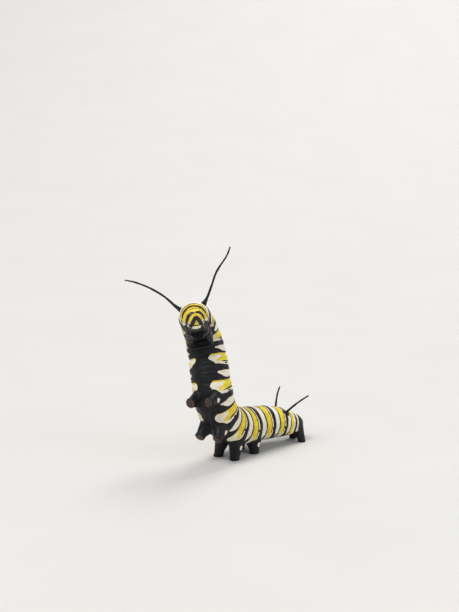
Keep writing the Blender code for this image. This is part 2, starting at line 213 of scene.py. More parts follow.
SIDES = ((1, "left"), (-1, "right"))
TAIL_ROWS, TRUNK_ROWS, RIM_ROWS = 34, 396, 14
TAIL_TIP = 0.02  # radians of the tail's rounding that its pole closes
SKIN_SIDES = 210
BELLY_CROWDING = 0.35  # draws the columns together under the belly, where the prolegs are
COLLAR_START, COLLAR_CLOSING = 0.72, 0.14  # share of the first thoracic length, share of the radius
COLLAR_ROLL = 0.28 * MM

JOINT_DEPTH, JOINT_WIDTH = 0.07, 0.055
# Fine rings on a body length, from its front: place as a share of the length, and depth.
USUAL_RINGS = ((0.2, 0.026), (0.38, 0.036), (0.62, 0.034), (0.74, 0.022), (0.87, 0.03))
SHORT_RINGS = ((0.3, 0.024), (0.66, 0.03))
RING_WIDTH = 0.03
LEAST_CROWDING, MOST_CROWDING = -0.5, 0.6
TAIL_PLATE_EDGE, TAIL_PLATE_FOLD = 98, 0.05  # degrees from the back, share of the radius
BEND_DEEPENING = 1.6
SIDE_FOLD, SIDE_GROOVE = (122, 11), (101, 8)  # degrees from the back, and half width
# Faint swellings: waves round the body, waves along it in radians to the millimetre, and phase.
UNEVENNESS = 0.004
UNEVEN_WAVES = ((2, 1.1, 0.4), (3, 1.9, 2.1), (5, 2.7, 4.0), (9, 5.1, 1.3))


def skin_rows():
    """Arc length and inward roll for each row: a round tail, an even trunk and a rolled-in rim."""
    angle = np.linspace(0, np.pi / 2, TAIL_ROWS, endpoint=False) + TAIL_TIP
    tail = TAIL_ROUNDING * (1 - np.cos(angle))
    trunk = np.linspace(TAIL_ROUNDING, ENDS[-2], TRUNK_ROWS)
    roll = np.linspace(0, np.pi, RIM_ROWS)
    rim = ENDS[-2] + COLLAR_ROLL * np.sin(roll)
    inward = np.concatenate([np.zeros(TAIL_ROWS + TRUNK_ROWS), COLLAR_ROLL * (1 - np.cos(roll))])
    return np.concatenate([tail, trunk, rim]), inward


skin_s, skin_inward = skin_rows()
skin_turn = once_round(SKIN_SIDES) + BELLY_CROWDING * np.sin(once_round(SKIN_SIDES))
S, TURN = np.meshgrid(skin_s, skin_turn, indexing="ij")
length_index = np.clip(np.searchsorted(ENDS, S, side="right") - 1, 0, len(NAMES) - 2)
LENGTH_MM = ROWS[length_index, 0]
PLACE = 1 - (S - ENDS[length_index]) / (LENGTH_MM * MM)  # 0 at a body length's front, 1 at its rear
FROM_BACK = np.degrees(np.arccos(np.clip(np.cos(TURN), -1, 1)))  # 0 on the back, 180 on the belly


def on(*names):
    """True where the skin belongs to one of the named body lengths."""
    return np.isin(length_index, [NAMES.index(name) for name in names])


def bend_crowding():
    """How much shorter the skin is than the axis at each point: positive inside a bend."""
    step = 0.2 * MM
    forward_change = (body_axes(skin_s + step)[0] - body_axes(skin_s - step)[0]) / (2 * step)
    _, dorsal, left = body_axes(skin_s)
    bend_up = np.einsum("ij,ij->i", forward_change, dorsal)[:, None]
    bend_left = np.einsum("ij,ij->i", forward_change, left)[:, None]
    return body_radius(S) * (bend_up * np.cos(TURN) + bend_left * np.sin(TURN))


def skin_relief():
    """The radius factor: joint creases and fine rings, deeper inside a bend, and soft side folds."""
    crowding = np.clip(bend_crowding(), LEAST_CROWDING, MOST_CROWDING)
    deeper = 1 + BEND_DEEPENING * crowding
    edge = np.minimum(PLACE, 1 - PLACE) * LENGTH_MM / 4
    factor = 1 - JOINT_DEPTH * deeper * hump(edge, 0, JOINT_WIDTH)
    short = on("thorax_1", "thorax_2", "abdomen_9", "abdomen_10")
    wander = 0.012 * np.sin(3 * TURN + length_index) + 0.008 * np.sin(7 * TURN + 2 * length_index)
    for rings, here in ((USUAL_RINGS, ~short), (SHORT_RINGS, short)):
        for place, depth in rings:
            factor -= here * depth * deeper * hump(PLACE + wander, place, RING_WIDTH)
    swell = np.sin(np.pi * np.clip(PLACE, 0, 1))
    side_fold = hump(FROM_BACK, *SIDE_FOLD) - 0.7 * hump(FROM_BACK, *SIDE_GROOVE)
    factor += 0.03 * side_fold * swell + 0.012 * crowding * swell
    factor -= TAIL_PLATE_FOLD * on("abdomen_10") * hump(FROM_BACK, TAIL_PLATE_EDGE, 6)
    for k, rate, phase in UNEVEN_WAVES:
        factor += UNEVENNESS * np.sin(k * TURN + phase) * np.sin(S / MM * rate + phase * 2) / k
    return factor


def body_skin():
    """Rings square to the axis: radius times relief, flattened on the belly, closed at both ends."""
    _, dorsal, left = [axis[:, None] for axis in body_axes(skin_s)]
    closing = COLLAR_CLOSING * smoothstep(1 - PLACE, COLLAR_START, 1) * on("thorax_1")
    flat = 1 - BELLY_FLATTENING * np.clip(-np.cos(TURN), 0, None) ** 2
    radius = body_radius(S) * flat * (skin_relief() - closing) - skin_inward[:, None]
    return axis_point(skin_s)[:, None] + radius[..., None] * (
        np.cos(TURN)[..., None] * dorsal + np.sin(TURN)[..., None] * left
    )


# Prolegs. They are fleshy stumps of the same skin, with a flat sole that grips by a crescent of hooks.
# The three hind pairs carry the weight, and the two pairs above them hang free.

# Share of the length, then half thickness along and across the body in millimetres.
PROLEG_FORM = (
    (0.0, 1.6, 1.35), (0.35, 1.5, 1.3), (0.55, 1.3, 1.15), (0.74, 1.02, 0.95),
    (0.87, 0.92, 0.88), (0.96, 0.96, 0.92), (1.0, 0.8, 0.76),
)
PROLEG_OUTWARD = 1.9
PROLEG_ROOT_OUTWARD, PROLEG_ROOT_DEPTH = 1.4, 0.4
FREE_PROLEG_REACH = 1.5
ANAL_PROLEG_ROOT = (0.0, 1.05, -0.2)
ANAL_PROLEG_SLIMNESS = 0.82
ANAL_SOLE_OUTWARD, ANAL_SOLE_BACK = 1.5, 0.3
STANDING = (5, 6)
DOWN = np.array([0.0, 0.0, -1.0])

FOOTPRINT_AT = 0.42  # the share of the proleg whose thickness is its footprint on the body
FOOTPRINT = 1.14
SOLE_SHARE = 0.45  # share of the footprint that becomes the sole
FILLET = 0.34
RIM_CROWDING = 1.4  # draws the grid's rows together at the sole's rim
FIRST_SHARES = (0.2, 0.6)  # least and greatest share of the proleg at which its wall leaves the body
PROLEG_CREASES, CREASE_DEPTH = 6, 0.045
RIM_AT = 0.97  # share at which the creases end
PAD_BULGE, PAD_CLEFT, CLEFT_WIDTH = 0.22 * MM, 0.45, 0.07
# The cream dot on each proleg but the hindmost: way down, radians from its front, and millimetres.
DOT_SHARE, DOT_TURN, DOT_RADIUS = 0.5, 1.75, 0.42
DOT_REACH = 1.0  # the furthest that a dot can show from its middle, in millimetres
PAD_FROM = (1.02, 1.3)  # ways down over which the wall's colours give way to the sole's
OUTSIDE = -9.0  # millimetres, where no marking reaches
SLEEVE_ALONG, SLEEVE_ACROSS = 1.68, 1.45  # half sizes of the black round each proleg, in millimetres


def smooth_path(points, count):
    """A Catmull-Rom curve through the points, read at count places an even step apart."""
    points = np.asarray(points, float)
    padded = np.vstack([2 * points[0] - points[1], points, 2 * points[-1] - points[-2]])
    t = np.linspace(0, len(points) - 1, count)
    span = np.minimum(t.astype(int), len(points) - 2)
    u = (t - span)[:, None]
    a, b, c, d = [padded[span + k] for k in range(4)]
    square = 2 * a - 5 * b + 4 * c - d
    cube = 3 * b - a - 3 * c + d
    return 0.5 * (2 * b + (c - a) * u + square * u**2 + cube * u**3)


proleg_curve = smooth_path(PROLEG_FORM, 80)


def proleg_list():
    """For each proleg: body length, side, root, sole, first and last normals, and slimness."""
    found = []
    for pair in (3, 4, 5, 6):
        s = mid_arc(f"abdomen_{pair}")
        radius = body_radius(s) / MM
        _, dorsal, _ = body_axes(s)
        for side in (1, -1):
            root = local_point(s, 0.0, PROLEG_ROOT_OUTWARD, -radius * PROLEG_ROOT_DEPTH, side)
            sole = local_point(s, 0.0, PROLEG_OUTWARD, -radius - FREE_PROLEG_REACH, side)
            normal = -dorsal
            if pair in STANDING:
                reach = local_point(s, 0.0, PROLEG_OUTWARD, -radius, side)
                sole, normal = reach - dorsal * (reach[2] / dorsal[2]), DOWN
            found.append((f"abdomen_{pair}", side, root, sole, -dorsal, normal, 1.0))
    s = mid_arc("abdomen_10")
    for side in (1, -1):
        root = local_point(s, *ANAL_PROLEG_ROOT, side)
        sole = local_point(s, -ANAL_SOLE_BACK, ANAL_SOLE_OUTWARD, 0.0, side)
        sole[2] = 0.0
        found.append(("abdomen_10", side, root, sole, -body_axes(s)[1], DOWN, ANAL_PROLEG_SLIMNESS))
    return found


def proleg_axes(leg, share):
    """Directions of a proleg's ring at a share of its length: up the body and to its left."""
    first, last = unit(leg[4]), unit(leg[5])
    normal = unit(first + (last - first) * share[..., None] ** 0.5)
    up = square_to(normal, body_axes(mid_arc(leg[0]))[0])
    return up, np.cross(up, normal)


def proleg_offsets(leg, points):
    """How far points are from a proleg's root: up the body, across it and along the proleg."""
    axis = unit(leg[3] - leg[2])
    up = square_to(axis, body_axes(mid_arc(leg[0]))[0])
    offset = points - leg[2]
    return offset @ up, offset @ np.cross(up, axis), offset @ axis


def proleg_radii(leg, share):
    """Half thickness along and across the body at a share of the length, in metres."""
    scale = MM * leg[6]
    return [np.interp(share, proleg_curve[:, 0], proleg_curve[:, k]) * scale for k in (1, 2)]


def proleg_point(leg, share, turn, scale=1.0):
    """A point on a proleg: its ring's ellipse at a share of the way from root to sole."""
    up, left = proleg_axes(leg, share)
    along, across = proleg_radii(leg, share)
    ring = (along * scale * np.cos(turn))[..., None] * up
    ring = ring + (across * scale * np.sin(turn))[..., None] * left
    return leg[2] + (leg[3] - leg[2]) * share[..., None] + ring


def pull_prolegs(points, grain):
    """Draws the skin in each proleg's footprint out over the proleg.

    The distance from the footprint's middle becomes the way down the wall, and its inner part the
    sole. Also gives the way down at each point, past 1 on the sole.
    """
    way_down = np.zeros(points.shape[:2])
    for leg in proleg_list():
        up, across, depth = proleg_offsets(leg, points)
        half_up, half_across = proleg_radii(leg, np.array(FOOTPRINT_AT))
        a, b = up / (half_up * FOOTPRINT), across / (half_across * FOOTPRINT)
        near, turn = np.hypot(a, b), np.arctan2(b, a)
        inside = (near < 1) & (depth > 0)
        down = np.clip((1 - near) / (1 - SOLE_SHARE), 0, 1)
        first = np.clip(depth / np.linalg.norm(leg[3] - leg[2]), *FIRST_SHARES)
        share = first + (1 - first) * (1 - (1 - down) ** RIM_CROWDING)
        on_sole = np.clip(1 - near / SOLE_SHARE, 0, 1)
        creased = 0.5 - 0.5 * np.cos(2 * np.pi * PROLEG_CREASES * share)
        scale = (1 - CREASE_DEPTH * creased * (share < RIM_AT)) * np.minimum(near / SOLE_SHARE, 1)
        target = proleg_point(leg, share, turn, scale)
        if leg[5] is not DOWN:
            dome = np.sqrt(1 - (1 - on_sole) ** 2) * (1 - PAD_CLEFT * hump(a, 0, CLEFT_WIDTH))
            target += unit(leg[5]) * (PAD_BULGE * dome)[..., None]
        weight = (smoothstep(down, 0, FILLET) * inside)[..., None]
        points = points + (target - points) * weight
        middle = mid_arc(leg[0])
        own = (target - axis_point(middle)) @ np.stack(body_axes(middle), axis=-1)
        own[..., 0] += middle
        grain = grain + (own / MM - grain) * weight
        way_down = np.maximum(way_down, inside * (down + on_sole))
    return points, grain, way_down


def proleg_marks():
    """Signed millimetres into the black sleeves round the prolegs, and the ways from their dots."""
    sleeves, from_dot = np.full(S.shape, OUTSIDE), np.full((*S.shape, 3), -OUTSIDE)
    for leg in proleg_list():
        up, across, depth = [offset / MM for offset in proleg_offsets(leg, skin_points)]
        sleeve = (1 - np.hypot(up / SLEEVE_ALONG, across / SLEEVE_ACROSS) / leg[6]) * SLEEVE_ACROSS
        sleeves = np.maximum(sleeves, np.minimum(sleeve, depth))
        if leg[0] != "abdomen_10":
            dot = proleg_point(leg, np.array(DOT_SHARE), np.array(leg[1] * DOT_TURN))
            away = (skin_points - dot) / MM
            near = np.linalg.norm(away, axis=-1, keepdims=True) < 2 * DOT_REACH
            from_dot = np.where(near, away, from_dot)
    return sleeves, from_dot


LEG_MOUND_HEIGHT, LEG_MOUND_WIDTH = 0.42 * MM, 0.85 * MM
LEG_MOUND_OUTWARD, LEG_MOUND_DEPTH = 0.54, 0.84  # shares of the body's radius


def raise_leg_mounds(points):
    """Swells the skin downwards round the roots of the six jointed legs, by a bell of the distance."""
    for pair in (1, 2, 3):
        s = mid_arc(f"thorax_{pair}")
        radius = body_radius(s) / MM
        for side in (1, -1):
            middle = local_point(s, 0.05, radius * LEG_MOUND_OUTWARD, -radius * LEG_MOUND_DEPTH, side)
            bell = hump(np.linalg.norm(points - middle, axis=-1), 0, LEG_MOUND_WIDTH)
            points = points - body_axes(s)[1] * (LEG_MOUND_HEIGHT * bell)[..., None]
    return points


# Black patches round the tentacles: middle in millimetres forward, outward and up, and radius.
PATCHES = (("thorax_2", (0.36, 2.1, 1.91), 1.0), ("abdomen_8", (-0.24, 1.72, 2.4), 0.8))


def tentacle_patches():
    """Signed millimetres into the black patches round the four tentacles."""
    inside = np.full(S.shape, OUTSIDE)
    for name, place, radius in PATCHES:
        for side in (1, -1):
            away = np.linalg.norm(skin_points - local_point(mid_arc(name), *place, side), axis=-1)
            inside = np.maximum(inside, radius - away / MM)
    return inside


FINE_LINES = 1.7  # steepens the first thoracic length's distances, so that its thin lines stay clean


def bands():
    """Signed millimetres into black and into cream, from the place on a body length and round it."""
    belly = smoothstep(FROM_BACK, 98, 138)
    wobble = 0.010 * np.sin(2 * TURN + 1.7 * length_index) + 0.006 * np.sin(5 * TURN + length_index)
    place = PLACE + wobble

    def stripe(front, rear):
        return np.minimum(place - front, rear - place) * LENGTH_MM

    def line(middle, half, fading=150, gone=180):
        thinner = 1 - 1.6 * smoothstep(FROM_BACK, fading, gone)
        return stripe(middle, middle) + half * LENGTH_MM * thinner

    def together(*parts):
        return np.maximum.reduce(parts)

    usual = on(*[f"abdomen_{k}" for k in range(1, 9)], "thorax_3")
    broad = stripe(0.395 - 0.03 * belly, 0.605 + 0.06 * belly)
    rear_line = stripe(0.865 - 0.17 * belly, 0.945 + 0.01 * belly)
    round_joint = (place + 0.5) % 1.0
    throat = smoothstep(S, mid_arc("abdomen_1"), mid_arc("thorax_3"))
    pale_until = 132 - 14 * throat + 26 * (1 - 0.7 * throat) * hump(round_joint, 0.6, 0.2)
    underside = (FROM_BACK - pale_until) * 0.055
    front_line = line(0.27, 0.026, 104, 136)
    black = np.where(usual, together(front_line, broad, rear_line, underside), OUTSIDE)
    cream = np.where(usual, together(stripe(0.27, 0.42), stripe(0.58, 0.9)), OUTSIDE)
    hem_edge = 106 + 30 * smoothstep(round_joint, 0.42, 0.8)
    pale_hem = np.minimum((FROM_BACK - hem_edge) * 0.035, stripe(-0.1, 0.3) + 0.3)
    cream = together(cream, pale_hem)

    second = on("thorax_2")
    front_edge = 0.29 - 0.20 * smoothstep(FROM_BACK, 35, 95)
    black = np.where(second, together(stripe(front_edge, 0.58), rear_line, underside), black)
    cream = np.where(second, stripe(-0.2, 0.9), cream)
    first = on("thorax_1")
    low = (FROM_BACK - 110 - 8 * np.sin(place * 6)) * 0.05
    broader = 0.047 + 0.015 * hump(FROM_BACK, 50, 30)
    fine = ((0.0, 0.035), (0.17, broader), (0.42, 0.055))
    lines = [line(middle, half, 70, 115) for middle, half in fine]
    black = np.where(first, FINE_LINES * together(*lines, stripe(0.95, 1.2), low), black)
    cream = np.where(first, together(stripe(0.50, 1.2), (FROM_BACK - 105) * 0.03), cream)

    ninth = on("abdomen_9")
    black = np.where(ninth, together(stripe(0.55, 1.3), underside), black)
    cream = np.where(ninth, stripe(0.3, 0.7), cream)
    last = on("abdomen_10")
    plate_edge = TAIL_PLATE_EDGE + 30 * smoothstep(place, 0.3, 0.8)
    plate = np.minimum(stripe(0.14, 1.3), (plate_edge - FROM_BACK) * 0.035)
    black = np.where(last, together(plate, (FROM_BACK - 122) * 0.04), black)
    cream = np.where(last, stripe(-0.2, 1.2), cream)
    return together(black, tentacle_patches()), cream


unrolled = body_radius(S)
skin_grain = np.stack([S, np.cos(TURN) * unrolled, np.sin(TURN) * unrolled], axis=-1) / MM
skin_points = raise_leg_mounds(body_skin())
skin_points, skin_grain, proleg_down = pull_prolegs(skin_points, skin_grain)
skin_black, skin_cream = bands()
black_sleeves, from_dot = proleg_marks()


class Shader:
    """The nodes of one material, or of one group when it is given sockets, wired by short calls."""

    def __init__(self, name, takes=(), gives=()):
        if takes or gives:
            self.tree = bpy.data.node_groups.new(name, "ShaderNodeTree")
            for way, sockets in (("INPUT", takes), ("OUTPUT", gives)):
                for socket, kind in sockets:
                    kind = "NodeSocket" + kind
                    self.tree.interface.new_socket(name=socket, in_out=way, socket_type=kind)
            self.given = self.tree.nodes.new("NodeGroupInput").outputs
            self.result = self.tree.nodes.new("NodeGroupOutput")
        else:
            self.material = bpy.data.materials.new(name)
            self.material.use_nodes = True
            self.tree = self.material.node_tree
            self.principled = self.tree.nodes["Principled BSDF"]

    def put(self, socket, value):
        """Links a socket to a value that varies, or sets it to a constant one."""
        if isinstance(value, bpy.types.NodeSocket):
            self.tree.links.new(value, socket)
        else:
            socket.default_value = value

    def add(self, kind, inputs=None, **settings):
        node = self.tree.nodes.new("ShaderNode" + kind)
        for key, value in settings.items():
            setattr(node, key, value)
        for key, value in (inputs or {}).items():
            self.put(node.inputs[key], value)
        return node

    def math(self, operation, *values):
        return self.add("Math", dict(enumerate(values)), operation=operation).outputs[0]

    def mix(self, factor, first, second):
        """A colour between two: the Mix node keeps its colour sockets behind those of numbers."""
        node = self.add("Mix", {0: factor, 6: first, 7: second}, data_type="RGBA")
        return node.outputs[2]

    def attribute(self, name, field="Fac"):
        return self.add("Attribute", attribute_name=name).outputs[field]

    def stretched(self, vector, scale):
        return self.add("Mapping", {"Vector": vector, "Scale": scale}).outputs[0]

    def place(self):
        """The place on the object in millimetres."""
        return self.stretched(self.add("TexCoord").outputs["Object"], (1000.0, 1000.0, 1000.0))

    def noise(self, vector, scale, detail=3.0, roughness=0.5):
        inputs = {"Vector": vector, "Scale": scale, "Detail": detail, "Roughness": roughness}
        return self.add("TexNoise", inputs).outputs["Fac"]

    def ramp(self, value, *limits):
        """The value eased from its low to its high limit, to 0 and 1 or to two limits of its own."""
        names = ("From Min", "From Max", "To Min", "To Max")
        inputs = {"Value": value, **dict(zip(names, limits))}
        return self.add("MapRange", inputs, interpolation_type="SMOOTHSTEP").outputs[0]

    def bump(self, height, strength, distance):
        inputs = {"Height": height, "Strength": strength, "Distance": distance}
        return self.add("Bump", inputs).outputs[0]

    def surface(self, **values):
        """Fills the Principled shader's sockets by name, with spaces as underscores."""
        for key, value in values.items():
            self.put(self.principled.inputs[key.replace("_", " ")], value)
        return self.material

    def wrinkled(self, colour, height, rough, relief, **values):
        """A surface whose roughness and normal follow the height of its wrinkles."""
        rough, normal = self.ramp(height, *rough), self.bump(height, *relief)
        return self.surface(Base_Color=colour, Roughness=rough, Normal=normal, **values)


def ragged_edge_group():
    """1 where a distance in millimetres is positive, with an edge that wanders by a little noise."""
    group = Shader(
        "ragged_edge",
        (("Distance", "Float"), ("Place", "Vector"), ("Wander", "Float"), ("Softness", "Float")),
        (("Mask", "Float"),),
    )
    noise = group.noise(group.given["Place"], 2.2, 3.0, 0.45)
    shift = group.math("MULTIPLY", group.math("SUBTRACT", noise, 0.5), group.given["Wander"])
    moved = group.math("ADD", group.given["Distance"], shift)
    low = group.math("MULTIPLY", group.given["Softness"], -1.0)
    group.put(group.result.inputs["Mask"], group.ramp(moved, low, group.given["Softness"]))
    return group.tree


def fine_wrinkles_group():
    """Height of fine creases, drawn out across the first coordinate, with pores between them."""
    group = Shader(
        "fine_wrinkles",
        (("Place", "Vector"), ("Crease Scale", "Float"), ("Pore Scale", "Float"), ("Pores", "Float")),
        (("Height", "Float"), ("Patches", "Float")),
    )
    place = group.given["Place"]
    drawn_out = group.stretched(place, (3.0, 0.8, 0.8))
    creases = group.noise(drawn_out, group.given["Crease Scale"], 5.0, 0.62)
    pores = group.noise(place, group.given["Pore Scale"], 2.0)
    pores = group.math("MULTIPLY", pores, group.given["Pores"])
    group.put(group.result.inputs["Height"], group.math("ADD", creases, pores))
    group.put(group.result.inputs["Patches"], group.noise(place, 1.1, 3.0))
    return group.tree


RAGGED_EDGE = ragged_edge_group()
FINE_WRINKLES = fine_wrinkles_group()


def edge_mask(shader, distance, place, wander, softness):
    """The mask of a distance in millimetres by the ragged edge group."""
    inputs = {"Distance": distance, "Place": place, "Wander": wander, "Softness": softness}
    return shader.add("Group", inputs, node_tree=RAGGED_EDGE).outputs["Mask"]


def wrinkles(shader, place, crease_scale, pore_scale, pores):
    """Height and patches from the fine wrinkles group."""
    scales = {"Crease Scale": crease_scale, "Pore Scale": pore_scale, "Pores": pores}
    return shader.add("Group", {"Place": place, **scales}, node_tree=FINE_WRINKLES).outputs


BLACK = (0.0045, 0.0042, 0.006, 1)
DUSTY_BLACK = (0.011, 0.010, 0.013, 1)
CREAM = (0.80, 0.765, 0.60, 1)
ROSY_CREAM = (0.74, 0.66, 0.55, 1)
YELLOW = (0.76, 0.62, 0.045, 1)
DEEP_YELLOW = (0.70, 0.49, 0.028, 1)
PAD = (0.05, 0.042, 0.038, 1)


def skin_material():
    """Black over cream over yellow from the stored distances, mottled, on fine wrinkles."""
    shader = Shader("banded_skin")
    grain = shader.attribute("grain", "Vector")
    height, patches = wrinkles(shader, grain, 2.6, 20.0, 0.3)
    place = shader.place()
    black = edge_mask(shader, shader.attribute("black"), place, 0.20, 0.03)
    cream = edge_mask(shader, shader.attribute("cream"), place, 0.45, 0.20)
    away = shader.add("VectorMath", {0: shader.attribute("from_dot", "Vector")}, operation="LENGTH")
    into_dot = shader.math("SUBTRACT", DOT_RADIUS, away.outputs["Value"])
    dot = edge_mask(shader, into_dot, place, 0.45, 0.03)
    patchy = shader.ramp(patches, 0.36, 0.66)
    yellow = shader.mix(patchy, YELLOW, DEEP_YELLOW)
    pale = shader.mix(patchy, CREAM, ROSY_CREAM)
    dark = shader.mix(patchy, BLACK, DUSTY_BLACK)
    colour = shader.mix(black, shader.mix(cream, yellow, pale), dark)
    colour = shader.mix(shader.math("MULTIPLY", dot, shader.attribute("dotted")), colour, pale)
    colour = shader.mix(shader.attribute("pad"), colour, PAD)
    glow = dict(Subsurface_Weight=0.08, Subsurface_Scale=0.0005, Subsurface_Radius=(1.0, 0.6, 0.25))
    rough, relief = (0.35, 0.95, 0.33, 0.52), (0.4, 0.00012)
    return shader.wrinkled(colour, height, rough, relief, Specular_IOR_Level=0.22, **glow)


flesh = [name for name in NAMES if name != "head"]
prolegs = [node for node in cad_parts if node.startswith("proleg")]
add_tubes(
    "skin",
    "banded_skin",
    [skin_points],
    skin_material(),
    flesh + prolegs,
    black=[np.maximum(skin_black, black_sleeves)],
    cream=[skin_cream],
    from_dot=[from_dot],
    dotted=[np.linalg.norm(from_dot, axis=-1) < DOT_REACH],
    pad=[smoothstep(proleg_down, *PAD_FROM)],
    grain=[skin_grain],
)


# Head. A hard glossy shell in two round lobes with a groove between them, over a triangular face
# plate. It is one piece, and the soft front fold of the body closes round its back.
HEAD_HALF_WIDTH, HEAD_HALF_HEIGHT, HEAD_DEPTH = 1.8, 1.78, 1.35  # in millimetres
HEAD_ASIDE = 0.15 * MM  # of its middle from the axis at the neck, to the right
NECK_ANGLE, HEAD_BACK_ANGLE = 112.0, 140.0  # where the solid ends, and where the shell closes
FACE_POWER = 2.4
CLEFT_DEPTH, CLEFT_HALF_ANGLE = 0.06, 13.0
NODE_GAP = 0.3 * MM
HEAD_SIDES, HEAD_FACE_ROWS, HEAD_BACK_ROWS = 220, 120, 34

head_ahead, head_up, head_left = body_axes(mid_arc("head"))
neck_to_middle = NODE_GAP / 2 - HEAD_DEPTH * MM * np.cos(np.radians(NECK_ANGLE))
neck_ahead, _, neck_left = body_axes(ENDS[-2])
head_centre = axis_point(ENDS[-2]) + neck_ahead * neck_to_middle - neck_left * HEAD_ASIDE

# Face markings in millimetres from the head's middle. The yellow arch is given round a point under
# that middle: degrees from straight up, distance and half width. The black arch outside it ends at
# a rim given the same way.
PLATE_TOP, PLATE_BOTTOM, PLATE_HALF_WIDTH = 0.10, -0.80, 0.49
LIP_TOP, LIP_BOTTOM, LIP_HALF_WIDTH = -1.0, -1.6, 0.80
ARCH_MIDDLE = -0.3
YELLOW_ARCH = (
    (0, 1.345, 0.215), (17, 1.32, 0.22), (40, 1.19, 0.24), (65, 1.13, 0.22),
    (90, 1.21, 0.19), (108, 1.40, 0.13), (121, 1.63, 0.06),
)
BLACK_ARCH_RIM = (
    (0, 1.80), (8, 1.82), (18, 1.90), (30, 1.92), (42, 1.86),
    (56, 1.79), (73, 1.76), (108, 1.74), (125, 1.8),
)
ARCH_ENDS = 117.0
LIP_RISE, LIP_SLOPE = 0.05, 0.28
PARTING_HALF_WIDTH, PARTING_BOTTOM = 0.05, 1.1
SEAM_DEPTH, SEAM_WIDTH, GROOVE_WIDTH = 0.035, 0.035, 0.04
LOBES_RISE = 0.05


def head_point(left, up, front):
    """Points in millimetres from the head's middle: to its left, up and to the front."""
    parts = ((left, head_left), (up, head_up), (front, head_ahead))
    offset = sum(np.asarray(value, float)[..., None] * axis for value, axis in parts)
    return head_centre + MM * offset


def face_front(across, up):
    """How far in front of its middle the head's surface is, in millimetres."""
    inside = (across / HEAD_HALF_WIDTH) ** 2 + (up / HEAD_HALF_HEIGHT) ** 2
    return HEAD_DEPTH * np.sqrt(np.clip(1 - inside, 0, 1)) ** (2 / FACE_POWER)


def face_markings(across, up):
    """Signed millimetres into the plate, yellow arch, outer yellow, lip and parting line."""
    side = np.abs(across)
    edge = unit(np.array([PLATE_HALF_WIDTH, PLATE_BOTTOM - PLATE_TOP]))
    plate = np.minimum(side * edge[1] - (up - PLATE_TOP) * edge[0], up - PLATE_BOTTOM)
    angle = np.degrees(np.arctan2(side, up - ARCH_MIDDLE))
    distance = np.hypot(side, up - ARCH_MIDDLE)
    ends = (ARCH_ENDS - angle) * 0.03
    arch_angle, arch_radius, arch_half = np.array(YELLOW_ARCH).T
    from_arch = np.abs(distance - np.interp(angle, arch_angle, arch_radius))
    arch = np.minimum(np.interp(angle, arch_angle, arch_half) - from_arch, ends + 0.15)
    outer = np.minimum(distance - np.interp(angle, *np.array(BLACK_ARCH_RIM).T), ends)
    lip = np.minimum(np.minimum(up - LIP_BOTTOM, LIP_TOP - up), LIP_HALF_WIDTH - side)
    parting = np.minimum(PARTING_HALF_WIDTH - side, up - PARTING_BOTTOM)
    return plate, arch, outer, lip, parting


def head_shell():
    """Rings from the neck to the middle of the face, and where each point is across and up the face.

    Sideways a ring is the sine of its angle, and forwards its cosine, to a power in front that
    flattens the face. The lobes' groove and the plate's seams are sunk in it, and the lip slopes
    out of it towards its lower edge.
    """
    face = np.linspace(90, 0.7, HEAD_FACE_ROWS)
    behind = np.linspace(HEAD_BACK_ANGLE, 90, HEAD_BACK_ROWS, endpoint=False)
    angle = np.radians(np.concatenate([behind, face]))
    angle, turn = np.meshgrid(angle, once_round(HEAD_SIDES), indexing="ij")
    spread = np.sin(angle)
    is_back = angle > np.pi / 2
    front = np.where(is_back, np.cos(angle), np.abs(np.cos(angle)) ** (2 / FACE_POWER)) * HEAD_DEPTH
    unrolled = np.where(is_back, 1 + angle - np.pi / 2, spread)
    across = unrolled * HEAD_HALF_WIDTH * np.sin(turn)
    up = unrolled * HEAD_HALF_HEIGHT * np.cos(turn)
    plate, _, _, lip, _ = face_markings(across, up)
    from_top = np.degrees(np.arccos(np.cos(turn)))
    spread = spread * (1 - CLEFT_DEPTH * spread * hump(from_top, 0, CLEFT_HALF_ANGLE))
    seam = hump(plate, 0, SEAM_WIDTH) * (up < PLATE_TOP + 0.1)
    seam = seam + hump(across, 0, GROOVE_WIDTH) * (up > PLATE_TOP)
    lobes = LOBES_RISE * hump(np.abs(across), 0.85, 0.5) * smoothstep(up, -0.4, 0.8)
    down_lip = np.clip((LIP_TOP - up) / (LIP_TOP - LIP_BOTTOM), 0, 1)
    lip_out = smoothstep(lip, -0.08, 0.08) * (LIP_RISE + LIP_SLOPE * down_lip)
    front = front + (lobes - SEAM_DEPTH * seam + lip_out) * ~is_back
    left_now = HEAD_HALF_WIDTH * spread * np.sin(turn)
    up_now = HEAD_HALF_HEIGHT * spread * np.cos(turn)
    return head_point(left_now, up_now, front), across, up


def head_material():
    """Glossy shell: black over yellow from the stored distances, paler on the lip and arch ends."""
    shader = Shader("head_shell")
    grain = shader.attribute("grain", "Vector")
    height, patches = wrinkles(shader, grain, 3.5, 16.0, 0.6)
    black = edge_mask(shader, shader.attribute("black"), grain, 0.09, 0.018)
    cream = edge_mask(shader, shader.attribute("cream"), grain, 0.25, 0.12)
    yellow = shader.mix(shader.ramp(patches, 0.35, 0.65), YELLOW, DEEP_YELLOW)
    # A darker brown spot in the middle of the face plate, mixed into its yellow.
    stained = shader.mix(shader.attribute("stain"), yellow, (0.20, 0.12, 0.02, 1))
    colour = shader.mix(black, shader.mix(cream, stained, CREAM), (0.010, 0.008, 0.014, 1))
    gloss = dict(Specular_IOR_Level=0.3, Coat_Weight=0.25, Coat_Roughness=0.12)
    return shader.wrinkled(colour, height, (0.4, 1.1, 0.20, 0.34), (0.22, 0.00005), **gloss)


